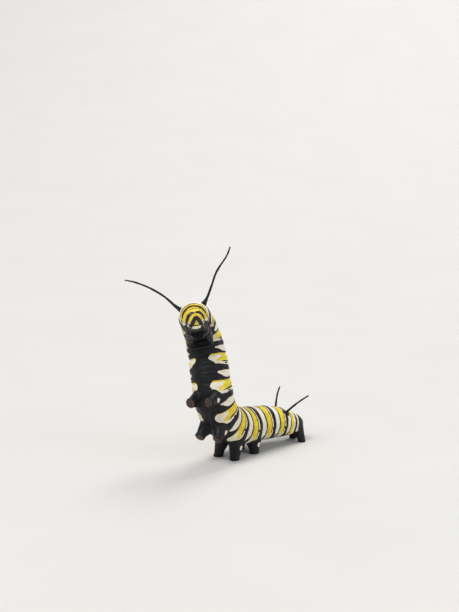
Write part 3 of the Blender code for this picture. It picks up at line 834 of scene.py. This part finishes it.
shell_points, face_across, face_up = head_shell()
plate_in, arch_in, outer_in, lip_in, parting_in = face_markings(face_across, face_up)
shell_black = -np.maximum.reduce([plate_in, arch_in, outer_in, lip_in, parting_in])
add_tubes(
    "head_shell",
    "head_shell",
    [shell_points],
    head_material(),
    ["head"],
    black=[shell_black],
    cream=[np.maximum(lip_in, np.minimum(arch_in + 0.3, (-face_up - 0.25) * 0.5))],
    # A darker brown spot in the middle of the face plate.
    stain=[hump(face_across, 0, 0.09) * hump(face_up, -0.42, 0.2) * 0.75],
    grain=[(shell_points - head_centre) / MM],
)


# Eyes. Six small clear lenses on each cheek, spaced round half an oval ring. Each is a glossy dome
# set in the shell.
EYES_PER_SIDE = 6
EYE_RADIUS, EYE_HEIGHT = 0.09, 0.06
EYE_ARC = (200.0, 20.0)
EYE_ARC_HALF_WIDTH, EYE_ARC_HALF_HEIGHT = 0.23, 0.32
EYE_ARC_CENTRE = (1.35, -0.80)
EYE_ROWS, EYE_SIDES = 12, 24


def eye_domes(side):
    """Half balls on the cheek: the radius times the sine of an angle, the height times its cosine."""
    round_arc = np.radians(np.linspace(*EYE_ARC, EYES_PER_SIDE))
    across = side * (EYE_ARC_CENTRE[0] + EYE_ARC_HALF_WIDTH * np.cos(round_arc))
    up = EYE_ARC_CENTRE[1] + EYE_ARC_HALF_HEIGHT * np.sin(round_arc)
    step = 0.05
    here = head_point(across, up, face_front(across, up))
    sideways = head_point(across + step, up, face_front(across + step, up)) - here
    upwards = head_point(across, up + step, face_front(across, up + step)) - here
    out = unit(np.cross(upwards, sideways))
    out *= np.sign(out @ head_ahead)[:, None]
    down = np.linspace(np.radians(115), 0.05, EYE_ROWS)
    angle, turn = [v[..., None] for v in np.meshgrid(down, once_round(EYE_SIDES), indexing="ij")]
    start = square_to(out, upwards)
    start, other, out = [axis[:, None, None] for axis in (start, np.cross(start, out), out)]
    ring = EYE_RADIUS * MM * np.sin(angle) * (np.cos(turn) * start + np.sin(turn) * other)
    return here[:, None, None] + ring + EYE_HEIGHT * MM * np.cos(angle) * out


def eye_material():
    """Dark brown glass, slightly lighter in clouds."""
    shader = Shader("eye_lens")
    clouds = shader.ramp(shader.noise(shader.place(), 4.0), 0.4, 0.7)
    colour = shader.mix(clouds, (0.006, 0.005, 0.005, 1), (0.03, 0.018, 0.010, 1))
    glass = dict(Roughness=0.06, Coat_Weight=1.0, Coat_Roughness=0.03, IOR=1.55)
    return shader.surface(Base_Color=colour, **glass)


EYE_FINISH = eye_material()
for side, word in SIDES:
    add_tubes("eyes_" + word, "head_shell", [eye_domes(side)], EYE_FINISH)


# Mouth parts. A notched upper lip hangs over two black toothed jaws, with a pair of jointed feelers
# and the spinneret under them. Each is a hard piece at the lower edge of the head.

# Left, up and front of the head's middle, then half sizes the same way.
FLAP_PLACE, FLAP_HALF = (0.0, -1.66, 0.98), (0.56, 0.24, 0.13)
FLAP_NOTCH = 0.5
JAW_PLACE, JAW_HALF = (0.40, -1.72, 0.76), (0.44, 0.34, 0.34)
JAW_TEETH = 5
CHIN_PLACE, CHIN_HALF = (0.0, -1.66, 0.22), (0.60, 0.38, 0.62)
LOBE_ROWS, LOBE_SIDES = 46, 56


def mirrored(side, place):
    """A place on the left, or its mirror image on the right."""
    return (side * place[0], *place[1:])


def lobe(place, half, reshape):
    """A ball squashed to three half sizes, as rings from its right to its left end.

    The reshape takes each point's right-to-left, up and front values between -1 and 1, and gives
    factors on them.
    """
    along = np.linspace(np.pi - 0.03, 0.03, LOBE_ROWS)
    angle, turn = np.meshgrid(along, once_round(LOBE_SIDES), indexing="ij")
    ball = np.cos(angle), np.sin(angle) * np.cos(turn), -np.sin(angle) * np.sin(turn)
    factors = reshape(*ball)
    return head_point(*[place[k] + half[k] * ball[k] * factors[k] for k in range(3)])


def flap_shape(across, up, front):
    """Squarer than a ball, with a notch in the middle of the lower edge."""
    square = 1 + 0.3 * across**4
    notch = 1 - FLAP_NOTCH * hump(across, 0, 0.2) * (up < 0)
    return 1.0, square * notch, 1.0


def jaw_shape(across, up, front):
    """A squarish shell whose lower front edge is cut into teeth."""
    low = smoothstep(-up, 0.2, 0.9)
    teeth = 1 + 0.12 * low * np.abs(np.cos(across * np.pi * JAW_TEETH / 2)) - 0.06 * low
    return 1.0, teeth * (1 + 0.25 * across**4), 1 + 0.1 * low


def plain_shape(across, up, front):
    """The ball itself."""
    return 1.0, 1.0, 1.0


def tube(points, radius, sides, reference):
    """Rings square to a path: the radius times the cosine along the reference, the sine across it.

    Many paths may come at once, with their rows second to last.
    """
    tangent = unit(np.gradient(points, axis=-2))
    up = square_to(tangent, reference)
    left = np.cross(up, tangent)
    turn = once_round(sides)[:, None]
    ring = np.cos(turn) * up[..., None, :] + np.sin(turn) * left[..., None, :]
    return points[..., None, :] + np.asarray(radius)[..., None, None] * ring


JOINT_SWELL, PINCH_WIDTH = 0.12, 0.022


def jointed_stalk(points, radii, joints, pinch, closing, sides, reference):
    """A tapering tube on a path, swelling to each joint and pinched in at it.

    Its tip closes by the square root of the way to it, over a share of the length and down to a
    least value, both given by the closing.
    """
    t = np.linspace(0, 1, len(points))
    radius = np.interp(t, np.linspace(0, 1, len(radii)), radii)
    for start, end in zip((0.0, *joints), (*joints, 1.0)):
        within = np.clip((t - start) / (end - start), 0, 1)
        radius = radius * (1 + JOINT_SWELL * (within**2) * (within < 1))
    for joint in joints:
        radius = radius * (1 - pinch * hump(t, joint, PINCH_WIDTH))
    radius = radius * np.sqrt(np.clip((1 - t) / closing[0], closing[1], 1))
    return tube(points, radius * MM, sides, reference)


def straight_path(root, tip, rows):
    """Even places from a root to a tip, both in millimetres from the head's middle."""
    t = np.linspace(0, 1, rows)
    return head_point(*[np.interp(t, (0, 1), pair) for pair in zip(root, tip)])


FEELER_ROOT, FEELER_TIP = (0.56, -1.66, 0.40), (0.52, -2.08, 0.84)
SPINNERET_ROOT, SPINNERET_TIP = (0.0, -1.80, 0.55), (0.0, -2.14, 0.86)
FEELER_RADII, FEELER_JOINTS = (0.19, 0.17, 0.12, 0.05), (0.35, 0.68)
SPINNERET_SCALE, SPINNERET_JOINTS = 0.7, (0.5,)
MOUTH_ROWS, MOUTH_SIDES = 70, 22


def mouth_feeler(root, tip, scale, joints):
    """A short straight stalk from the root to the tip, in millimetres from the head's middle."""
    radii = np.array(FEELER_RADII) * scale
    path = straight_path(root, tip, MOUTH_ROWS)
    return jointed_stalk(path, radii, joints, 0.22, (0.04, 0.02), MOUTH_SIDES, head_left)


def horn_material(name, dark, pale, roughness):
    """Glossy horn with fine scratches, paler where the joint attribute is high."""
    shader = Shader(name)
    height, patches = wrinkles(shader, shader.place(), 3.0, 14.0, 0.5)
    lighter = tuple(2.2 * value + 0.004 for value in dark[:3]) + (1,)
    colour = shader.mix(shader.ramp(patches, 0.35, 0.7), dark, lighter)
    colour = shader.mix(shader.attribute("joint"), colour, pale)
    rough = (0.4, 1.1, roughness, roughness + 0.16)
    gloss = dict(Specular_IOR_Level=0.3, Coat_Weight=0.2, Coat_Roughness=0.15)
    return shader.wrinkled(colour, height, rough, (0.25, 0.00005), **gloss)


HORN_BLACK = (0.010, 0.009, 0.011, 1)
MEMBRANE = (0.30, 0.24, 0.12, 1)
FLAP_FINISH = horn_material("lip_flap", (0.05, 0.034, 0.018, 1), MEMBRANE, 0.3)
JAW_FINISH = horn_material("jaw_horn", HORN_BLACK, MEMBRANE, 0.22)
add_tubes("lip_flap", "head_shell", [lobe(FLAP_PLACE, FLAP_HALF, flap_shape)], FLAP_FINISH)
for side, word in SIDES:
    jaw = lobe(mirrored(side, JAW_PLACE), JAW_HALF, jaw_shape)
    add_tubes("jaw_" + word, "head_shell", [jaw], JAW_FINISH)
    ends = [mirrored(side, stop) for stop in (FEELER_ROOT, FEELER_TIP)]
    feeler = mouth_feeler(*ends, 1.0, FEELER_JOINTS)
    add_tubes("mouth_feeler_" + word, "head_shell", [feeler], JAW_FINISH)
spinneret = mouth_feeler(SPINNERET_ROOT, SPINNERET_TIP, SPINNERET_SCALE, SPINNERET_JOINTS)
chin = lobe(CHIN_PLACE, CHIN_HALF, plain_shape)
add_tubes("chin", "head_shell", [chin, spinneret], JAW_FINISH)


# Antennae. Each is a short feeler of three rings beside the jaw, black horn on a pale soft root, with
# a long bristle at its end.
ANTENNA_ROOT, ANTENNA_TIP = (1.07, -1.12, 0.75), (1.28, -1.62, 1.72)
ANTENNA_RADII = (0.24, 0.22, 0.18, 0.13)
ANTENNA_JOINTS = (0.42, 0.80)
ANTENNA_ROWS, ANTENNA_SIDES = 90, 24
BRISTLE_LENGTH, BRISTLE_RADIUS, BRISTLE_DROOP = 0.55, 0.022, 0.12


def antenna(side):
    """The tubes of the feeler and its drooping bristle, and the joint values of both."""
    points = straight_path(mirrored(side, ANTENNA_ROOT), mirrored(side, ANTENNA_TIP), ANTENNA_ROWS)
    form = (ANTENNA_RADII, ANTENNA_JOINTS, 0.25, (0.03, 0.05), ANTENNA_SIDES)
    feeler = jointed_stalk(points, *form, head_left)
    u = np.linspace(0, 1, 14)[:, None]
    ahead = unit(points[-1] - points[0])
    path = points[-1] + MM * (BRISTLE_LENGTH * u * ahead - BRISTLE_DROOP * u**2 * head_up)
    bristle = tube(path, BRISTLE_RADIUS * (1.02 - u[:, 0]) * MM, 8, head_left)
    t = np.linspace(0, 1, ANTENNA_ROWS)
    pale = smoothstep(ANTENNA_JOINTS[0] - t, 0, 0.06) + hump(t, ANTENNA_JOINTS[1], 0.03)
    pale = np.repeat(pale[:, None], ANTENNA_SIDES, 1)
    return [feeler, bristle], [pale, np.zeros(bristle.shape[:2])]


ANTENNA_FINISH = horn_material("antenna_horn", HORN_BLACK, (0.12, 0.095, 0.06, 1), 0.26)
for side, word in SIDES:
    tubes, pale = antenna(side)
    node = "antenna_" + word
    add_tubes("antenna_horn_" + word, "antenna_horn", tubes, ANTENNA_FINISH, [node], joint=pale)


# Tentacles. Two long fleshy filaments behind the head and two shorter ones near the tail. They are
# outgrowths of the black skin, finely ringed, on a swollen root.
TENTACLE_ROUTES = {
    "front_left": (
        (0.1, 1.5, 1.35), (0.7, 2.9, 2.65), (1.3, 4.2, 4.35),
        (1.9, 5.75, 6.5), (2.4, 8.1, 8.6), (2.7, 9.15, 10.0),
    ),
    "front_right": (
        (0.1, 1.5, 1.35), (0.7, 2.75, 2.75), (1.2, 4.2, 4.8),
        (1.6, 6.2, 6.8), (1.9, 8.4, 8.4), (2.1, 10.2, 9.3),
    ),
    "rear": ((0.0, 1.2, 1.6), (-0.3, 1.85, 2.6), (-0.9, 2.75, 3.9), (-1.7, 3.7, 5.2), (-2.6, 4.5, 6.3)),
}
TENTACLE_ROOT, TENTACLE_SHAFT, TENTACLE_TIP = 0.60, 0.215, 0.13
TENTACLE_FLARE = 0.15
RING_SPACING, RING_DEPTH = 0.17, 0.014  # in millimetres
SLOW_WAVE, FAST_WAVE = (0.012, 1.9), (0.008, 4.3)  # millimetres high, radians to the millimetre
TENTACLE_CLOSING = 0.2
TENTACLE_ROWS_PER_MM, TENTACLE_SIDES = 26, 22


def tentacle(body_length, route, side, phase):
    """A tube on the smooth route, flared at the root, finely ringed and rounded at the tip."""
    s = mid_arc(body_length)
    stops = [local_point(s, *stop, side) for stop in route]
    rough = smooth_path(stops, 60)
    length = np.linalg.norm(np.diff(rough, axis=0), axis=1).sum() / MM
    rows = int(length * TENTACLE_ROWS_PER_MM)
    points = smooth_path(stops, rows)
    t = np.linspace(0, 1, rows)
    flare = (TENTACLE_ROOT - TENTACLE_SHAFT) * hump(t, 0, TENTACLE_FLARE)
    radius = TENTACLE_SHAFT + flare - (TENTACLE_SHAFT - TENTACLE_TIP) * t**2
    along = t * length
    slow, fast = along * SLOW_WAVE[1] + phase, along * FAST_WAVE[1] + 2 * phase
    radius += SLOW_WAVE[0] * np.sin(slow) + FAST_WAVE[0] * np.sin(fast)
    radius -= RING_DEPTH * (0.5 + 0.5 * np.cos(2 * np.pi * along / RING_SPACING)) ** 2
    from_tip = np.clip((1 - t) * length / TENTACLE_CLOSING, 0.004, 1)
    radius *= np.sqrt(from_tip * (2 - from_tip))
    return tube(points, radius * MM, TENTACLE_SIDES, body_axes(s)[0])


def tentacle_material():
    """Matt black skin, dusted with grey between fine rings."""
    shader = Shader("tentacle_skin")
    height, patches = wrinkles(shader, shader.place(), 5.0, 18.0, 0.8)
    colour = shader.mix(shader.ramp(patches, 0.35, 0.7), BLACK, DUSTY_BLACK)
    rough, relief = (0.4, 1.3, 0.42, 0.62), (0.4, 0.00006)
    return shader.wrinkled(colour, height, rough, relief, Specular_IOR_Level=0.25)


TENTACLE_FINISH = tentacle_material()
for name, body_length, route, side, phase in (
    ("front_left", "thorax_2", "front_left", 1, 0.3),
    ("front_right", "thorax_2", "front_right", -1, 1.9),
    ("rear_left", "abdomen_8", "rear", 1, 3.1),
    ("rear_right", "abdomen_8", "rear", -1, 4.4),
):
    grid, node = tentacle(body_length, TENTACLE_ROUTES[route], side, phase), "tentacle_" + name
    add_tubes("filament_" + name, "tentacle_skin", [grid], TENTACLE_FINISH, [node])


# Legs and claws. Three pairs of jointed legs under the thorax, of black horn with soft pale joints.
# Each ends in one curved claw.
LEG_TIPS = {1: (1.1, 0.7, 3.65), 2: (0.3, 1.35, 4.25), 3: (-1.0, 2.1, 4.35)}
LEG_ROOT_OUTWARD, LEG_ROOT_DEPTH = 0.48, 0.5
LEG_KNEE_OUTWARD = 0.62
KNEE_SHARE, SHIN_SHARE, KNEE_DROP = 0.3, 0.75, 0.4
LEG_RADII = (0.86, 0.74, 0.56, 0.46, 0.39, 0.34, 0.29, 0.24, 0.13)
LEG_JOINTS = (0.34, 0.56, 0.78)
LEG_ROWS, LEG_SIDES = 120, 40
SMALL_LEG = 0.88
CLAW_LENGTH, CLAW_RADIUS = 0.42, 0.10
CLAW_SUNK, CLAW_BEND = 0.25, 0.55  # shares of its length
CLAW_ROWS, CLAW_SIDES = 20, 14


def leg_path(pair, side, rows):
    """The smooth path from the root through knee and shin to the tip."""
    ahead, out, down = LEG_TIPS[pair]
    s = mid_arc(f"thorax_{pair}")
    radius = body_radius(s) / MM
    knee_out, knee_down = radius * LEG_KNEE_OUTWARD, radius + (down - radius) * KNEE_DROP
    stops = (
        (0.0, radius * LEG_ROOT_OUTWARD, -radius * LEG_ROOT_DEPTH),
        (ahead * KNEE_SHARE, knee_out, -knee_down),
        (ahead * SHIN_SHARE, (out + knee_out) / 2, -(down + knee_down) / 2),
        (ahead, out, -down),
    )
    return smooth_path([local_point(s, *stop, side) for stop in stops], rows)


def jointed_leg(pair, side):
    """A jointed stalk on the leg's path, and its joint values, with a bell at each joint."""
    radii = np.array(LEG_RADII) * (SMALL_LEG if pair == 1 else 1.0)
    points, ahead = leg_path(pair, side, LEG_ROWS), body_axes(mid_arc(f"thorax_{pair}"))[0]
    leg = jointed_stalk(points, radii, LEG_JOINTS, 0.24, (0.03, 0.05), LEG_SIDES, ahead)
    pale = sum(hump(np.linspace(0, 1, LEG_ROWS), joint, 0.02) for joint in LEG_JOINTS)
    return leg, np.repeat(0.8 * pale[:, None], LEG_SIDES, 1)


def claw(pair, side):
    """A curved cone that leaves the leg along it and bends in towards the body's middle line."""
    path = leg_path(pair, side, LEG_ROWS)
    _, dorsal, left = body_axes(mid_arc(f"thorax_{pair}"))
    t = np.linspace(0, 1, CLAW_ROWS)[:, None]
    ahead = unit(path[-1] - path[-6])
    inward = unit(-side * left + 0.6 * dorsal)
    bent = ahead * (0.8 * t - CLAW_SUNK) + inward * CLAW_BEND * t**2
    points = path[-1] + MM * CLAW_LENGTH * bent
    return tube(points, CLAW_RADIUS * MM * (1.01 - t[:, 0]) ** 0.8, CLAW_SIDES, dorsal)


LEG_FINISH = horn_material("leg_horn", HORN_BLACK, (0.10, 0.085, 0.06, 1), 0.2)
CLAW_FINISH = horn_material("claw_horn", (0.030, 0.014, 0.008, 1), MEMBRANE, 0.18)
claws, leg_grids = [], []
for pair in LEG_TIPS:
    for side, word in SIDES:
        grid, pale = jointed_leg(pair, side)
        name, node = f"leg_horn_{pair}_{word}", f"leg_{pair}_{word}"
        add_tubes(name, "leg_horn", [grid], LEG_FINISH, [node], joint=[pale])
        claws.append(claw(pair, side))
        leg_grids.append(grid)
add_tubes("claws", "leg_horn", [np.stack(claws)], CLAW_FINISH)


# Sole hooks. A crescent of amber hooks on the inner edge of each proleg's sole, rooted in its rim and
# bent out over it. On the legs that stand they lie folded just above the floor.
HOOKS_PER_SOLE, HOOK_ARC = 36, 78.0
HOOK_RADIUS, HOOK_POINT = 0.024, 0.12  # millimetres at its root, share of it at its point
HOOK_REACH, END_HOOK_LOSS = 1.15, 0.35  # the crescent's end hooks are shorter by this share
HOOK_ROWS, HOOK_SIDES = 9, 5
FREE_HOOK = ((0.90, -0.05), (0.98, 0.07), (0.97, 0.16), (0.88, 0.21), (0.78, 0.19))
FOLDED_HOOK = ((0.92, -0.14), (1.02, -0.11), (1.05, -0.06), (1.02, -0.035), (0.95, -0.03))


def sole_hooks(leg):
    """Tapering tubes on bent paths: share of the sole's radius, and millimetres out of the sole."""
    side = leg[1]
    spread = np.radians(HOOK_ARC) * np.linspace(-1, 1, HOOKS_PER_SOLE)
    turn = -side * np.pi / 2 + spread
    one = np.ones_like(turn)
    centre, rim = leg[3], proleg_point(leg, one, turn)
    out = unit(leg[5])
    shape = smooth_path(FOLDED_HOOK if leg[5] is DOWN else FREE_HOOK, HOOK_ROWS)
    length = 1 - END_HOOK_LOSS * (spread / np.radians(HOOK_ARC)) ** 2
    reach = 1 + (shape[:, 0] - 1) * length[:, None] * HOOK_REACH
    points = centre + (rim - centre)[:, None] * reach[..., None]
    points = points + out * (shape[:, 1] * length[:, None])[..., None] * MM
    taper = np.linspace(1, HOOK_POINT, HOOK_ROWS)
    radius = HOOK_RADIUS * MM * taper * np.ones((HOOKS_PER_SOLE, 1))
    return tube(points, radius, HOOK_SIDES, np.cross(out, unit(rim - centre))[:, None])


hooks = np.concatenate([sole_hooks(leg) for leg in proleg_list()])
HOOK_FINISH = horn_material("hook_horn", (0.25, 0.10, 0.02, 1), MEMBRANE, 0.2)
add_tubes("sole_hooks", "proleg_skin", [hooks], HOOK_FINISH)


# Breathing holes. A raised black oval rim round a sunken plate, on each side of the first thoracic
# and the first eight abdominal lengths, fused to the skin.
HOLE_PLACE, HOLE_TURN = 0.34, 95.0
HOLE_HALF_HEIGHT, HOLE_HALF_WIDTH = 0.22, 0.12
HOLE_ROWS, HOLE_SIDES = 22, 26
NEARBY = 3  # rows and columns of the skin's grid over which its directions are read
# Share of the half sizes, and height over the skin in millimetres.
HOLE_PROFILE = (
    (1.3, -0.12), (1.22, 0.02), (1.1, 0.085), (0.95, 0.09), (0.8, 0.05), (0.6, 0.02), (0.03, 0.014),
)


def skin_at(s, turn):
    """The skin's nearest points to arc lengths and turns, the way forward and the way out there."""
    row = np.abs(skin_s[:-RIM_ROWS, None] - s).argmin(0)
    column = np.abs(np.angle(np.exp(1j * (skin_turn[:, None] - turn)))).argmin(0)
    ahead = skin_points[row + NEARBY, column] - skin_points[row - NEARBY, column]
    after, before = (column + NEARBY) % SKIN_SIDES, (column - NEARBY) % SKIN_SIDES
    across = skin_points[row, after] - skin_points[row, before]
    return skin_points[row, column], unit(ahead), unit(np.cross(ahead, across))


def breathing_holes():
    """Oval rings of a profile: share of the half sizes, and height over the skin in millimetres."""
    names = ["thorax_1"] + [f"abdomen_{k}" for k in range(1, 9)]
    index = np.array([NAMES.index(name) for name in names])
    s = np.tile(ENDS[index] + (1 - HOLE_PLACE) * ROWS[index, 0] * MM, 2)
    turn = np.repeat(np.radians([HOLE_TURN, -HOLE_TURN]), len(names))
    here, ahead, out = [value[:, None, None] for value in skin_at(s, turn)]
    up = square_to(out, ahead)
    share, height = smooth_path(HOLE_PROFILE, HOLE_ROWS).T
    angle = once_round(HOLE_SIDES)[:, None]
    ring = HOLE_HALF_WIDTH * np.cos(angle) * up + HOLE_HALF_HEIGHT * np.sin(angle) * np.cross(up, out)
    return here + MM * (share[:, None, None] * ring + height[:, None, None] * out)


HOLE_FINISH = horn_material("breathing_rim", HORN_BLACK, MEMBRANE, 0.28)
add_tubes("breathing_holes", "banded_skin", [breathing_holes()], HOLE_FINISH)


# Bristles. Short stiff hairs, thinly scattered over the face, the legs, the prolegs and the body's
# lower half. Each is rooted in a pore and leans a little towards the tail.
BRISTLE_SEED = 11
BRISTLE_BASE = 0.011  # half thickness at the root, in millimetres
BRISTLE_ROWS, BRISTLE_CORNERS = 4, 4
BRISTLE_SUNK, BRISTLE_LEAN = 0.08, 0.45  # shares of its length
BRISTLE_PATCH = 0.0015
chance = np.random.default_rng(BRISTLE_SEED)


def grid_normals(points):
    """Outward directions on a closed grid: the way along its rows crossed with the way round."""
    round_grid = np.roll(points, -1, axis=1) - np.roll(points, 1, axis=1)
    return unit(np.cross(np.gradient(points, axis=0), round_grid))


def bristle_piece(name, roots, out, lean, length, places):
    """Bent cones on the roots, with each one's patch of the bake map at its place on the unwrap."""
    t = np.linspace(0, 1, BRISTLE_ROWS)[:, None]
    reach = (length * MM)[:, None, None]
    bent = out[:, None] * (t - BRISTLE_SUNK) + lean[:, None] * BRISTLE_LEAN * t**2
    points = roots[:, None] + reach * bent
    radius = BRISTLE_BASE * MM * (1.04 - t[:, 0]) * np.ones((len(roots), 1))
    mesh = grid_mesh(name, tube(points, radius, BRISTLE_CORNERS, np.cross(out, lean)[:, None]))
    turn = once_round(BRISTLE_CORNERS)
    ring = BRISTLE_PATCH * np.stack([np.cos(turn), np.sin(turn)], axis=-1)
    patch = np.concatenate([((1 - 0.7 * t[..., None]) * ring).reshape(-1, 2), np.zeros((2, 2))])
    corner_places = (places[:, None] + patch).reshape(-1, 2)
    corners = np.empty(len(mesh.loops), int)
    mesh.loops.foreach_get("vertex_index", corners)
    layer = mesh.uv_layers.new(name="OFBake")
    layer.data.foreach_set("uv", corner_places[corners].astype(np.float32).reshape(-1))
    add_piece(name, mesh, BRISTLE_FINISH)


def grow_bristles(name, grids, likely, count, shortest, longest):
    """Bristles on grids of points, drawn by likelihood times area and leaning against their rows."""
    drawn = []
    for number, points in enumerate(grids):
        along, across = np.gradient(points, axis=(0, 1))
        area = np.linalg.norm(np.cross(along, across), axis=-1)
        weight = (likely * area).reshape(-1)
        chosen = chance.choice(weight.size, count // len(grids), replace=False, p=weight / weight.sum())
        row, column = np.unravel_index(chosen, points.shape[:2])
        out = grid_normals(points)[row, column]
        lean = -square_to(out, along[row, column])
        place = [(column / points.shape[1] + number) / len(grids), row / points.shape[0]]
        drawn.append((points[row, column], out, lean, np.stack(place, axis=-1)))
    roots, out, lean, places = [np.concatenate(values) for values in zip(*drawn)]
    length = chance.uniform(shortest, longest, len(roots))
    bristle_piece(name, roots, out, lean, length, places)


BRISTLE_FINISH = horn_material("bristle", (0.05, 0.04, 0.032, 1), MEMBRANE, 0.4)
on_face = (np.arange(len(shell_points)) > HEAD_BACK_ROWS + 12)[:, None] & (shell_black > -0.4)
leg_share = np.linspace(0, 1, LEG_ROWS)[:, None]
on_leg = (leg_share > 0.2) & (leg_share < 0.97)
on_wall = (proleg_down > 0.25) & (proleg_down < 0.98) & (skin_points[..., 2] > 0.45 * MM)
behind_collar = S < ENDS[-2] - 0.8 * MM
low_body = (proleg_down == 0) * smoothstep(FROM_BACK, 60, 130) * behind_collar + 1e-6
grow_bristles("bristles_head", [shell_points], on_face, 130, 0.16, 0.34)
grow_bristles("bristles_legs", leg_grids, on_leg, 150, 0.14, 0.28)
grow_bristles("bristles_prolegs", [skin_points], on_wall, 300, 0.14, 0.28)
grow_bristles("bristles_body", [skin_points], low_body, 500, 0.08, 0.16)


# Stage and camera. A pale floor that curves up behind, under soft studio light. The camera looks
# level with the face from a little above it, as in the photograph.
FRAME_PIXELS = (459, 612)
MESOTHORAX_PIXEL = (194.8, 317.8)
PIXELS_PER_MM = 5.75
CAMERA_DISTANCE = 182 * MM
CAMERA_ELEVATION = np.radians(9.0)
SENSOR = 36.0


def make_camera():
    """Looks along a fixed direction, moved sideways so that the mesothorax meets its pixel."""
    data = bpy.data.cameras.new("camera")
    camera = link(bpy.data.objects.new("camera", data))
    data.sensor_width = SENSOR
    data.lens = PIXELS_PER_MM * (CAMERA_DISTANCE / MM) * SENSOR / FRAME_PIXELS[1]
    data.clip_start, data.clip_end = 0.01, 5.0
    towards = np.array([0, -np.cos(CAMERA_ELEVATION), np.sin(CAMERA_ELEVATION)])
    up = np.array([0, np.sin(CAMERA_ELEVATION), np.cos(CAMERA_ELEVATION)])
    right = np.array([1.0, 0, 0])
    across = (MESOTHORAX_PIXEL[0] - FRAME_PIXELS[0] / 2) / PIXELS_PER_MM * MM
    above = -(MESOTHORAX_PIXEL[1] - FRAME_PIXELS[1] / 2) / PIXELS_PER_MM * MM
    aim = axis_point(mid_arc("thorax_2")) - right * across - up * above
    camera.location = aim + towards * CAMERA_DISTANCE
    camera.rotation_euler = (np.pi / 2 - CAMERA_ELEVATION, 0, 0)
    bpy.context.scene.camera = camera


make_camera()
bpy.context.scene.view_settings.view_transform = "Standard"

# In metres: half the floor's width, its front and back, the sweep's radius and the wall's height.
FLOOR_HALF_WIDTH, FLOOR_FRONT, FLOOR_BACK, SWEEP_RADIUS, WALL_TOP = 1.2, -0.9, 0.10, 0.8, 1.4


def floor_mesh():
    """A strip swept across X: level, then a quarter round, then upright."""
    turn = np.linspace(0, np.pi / 2, 60)
    back = FLOOR_BACK + SWEEP_RADIUS * np.sin(turn)
    height = SWEEP_RADIUS * (1 - np.cos(turn))
    y = np.concatenate([[FLOOR_FRONT], back, back[-1:]])
    z = np.concatenate([[0], height, [WALL_TOP]])
    x = np.array([-FLOOR_HALF_WIDTH, FLOOR_HALF_WIDTH])
    points = np.stack(np.broadcast_arrays(x, y[:, None], z[:, None]), axis=-1)
    faces = [(2 * k, 2 * k + 1, 2 * k + 3, 2 * k + 2) for k in range(len(y) - 1)]
    mesh = bpy.data.meshes.new("floor")
    mesh.from_pydata(points.reshape(-1, 3), [], faces)
    mesh.polygons.foreach_set("use_smooth", np.full(len(faces), True))
    return mesh


def add_stage():
    floor = link(bpy.data.objects.new("floor", floor_mesh()))
    paper = Shader("floor_paper")
    place = paper.add("TexCoord").outputs["Object"]
    tone = paper.mix(paper.noise(place, 40.0), (0.62, 0.61, 0.59, 1), (0.66, 0.65, 0.63, 1))
    floor.data.materials.append(paper.surface(Base_Color=tone, Roughness=0.85))
    world = bpy.data.worlds.new("studio")
    bpy.context.scene.world = world
    world.use_nodes = True
    background = world.node_tree.nodes["Background"].inputs
    background["Color"].default_value = (0.9, 0.93, 1.0, 1)
    background["Strength"].default_value = 0.42


LIGHTS = {
    "key": ((-0.50, -0.55, 0.95), 0.45, 9.0, (1.0, 0.97, 0.93)),
    "fill": ((0.80, -0.50, 0.45), 0.60, 3.0, (0.93, 0.96, 1.0)),
    "back": ((0.25, 0.45, 0.80), 0.40, 4.0, (1.0, 0.98, 0.95)),
}


def add_lights():
    """Three square softboxes, each turned towards the animal's middle."""
    middle = np.array([0.0, 0.0, 0.016])
    for name, (place, size, power, colour) in LIGHTS.items():
        data = bpy.data.lights.new(name, "AREA")
        data.size, data.energy, data.color = size, power, colour
        lamp = link(bpy.data.objects.new(name, data))
        lamp.location = place
        away = unit(np.array(place) - middle)
        lamp.rotation_euler = (np.arccos(away[2]), 0, np.arctan2(away[0], -away[1]))


add_stage()
add_lights()
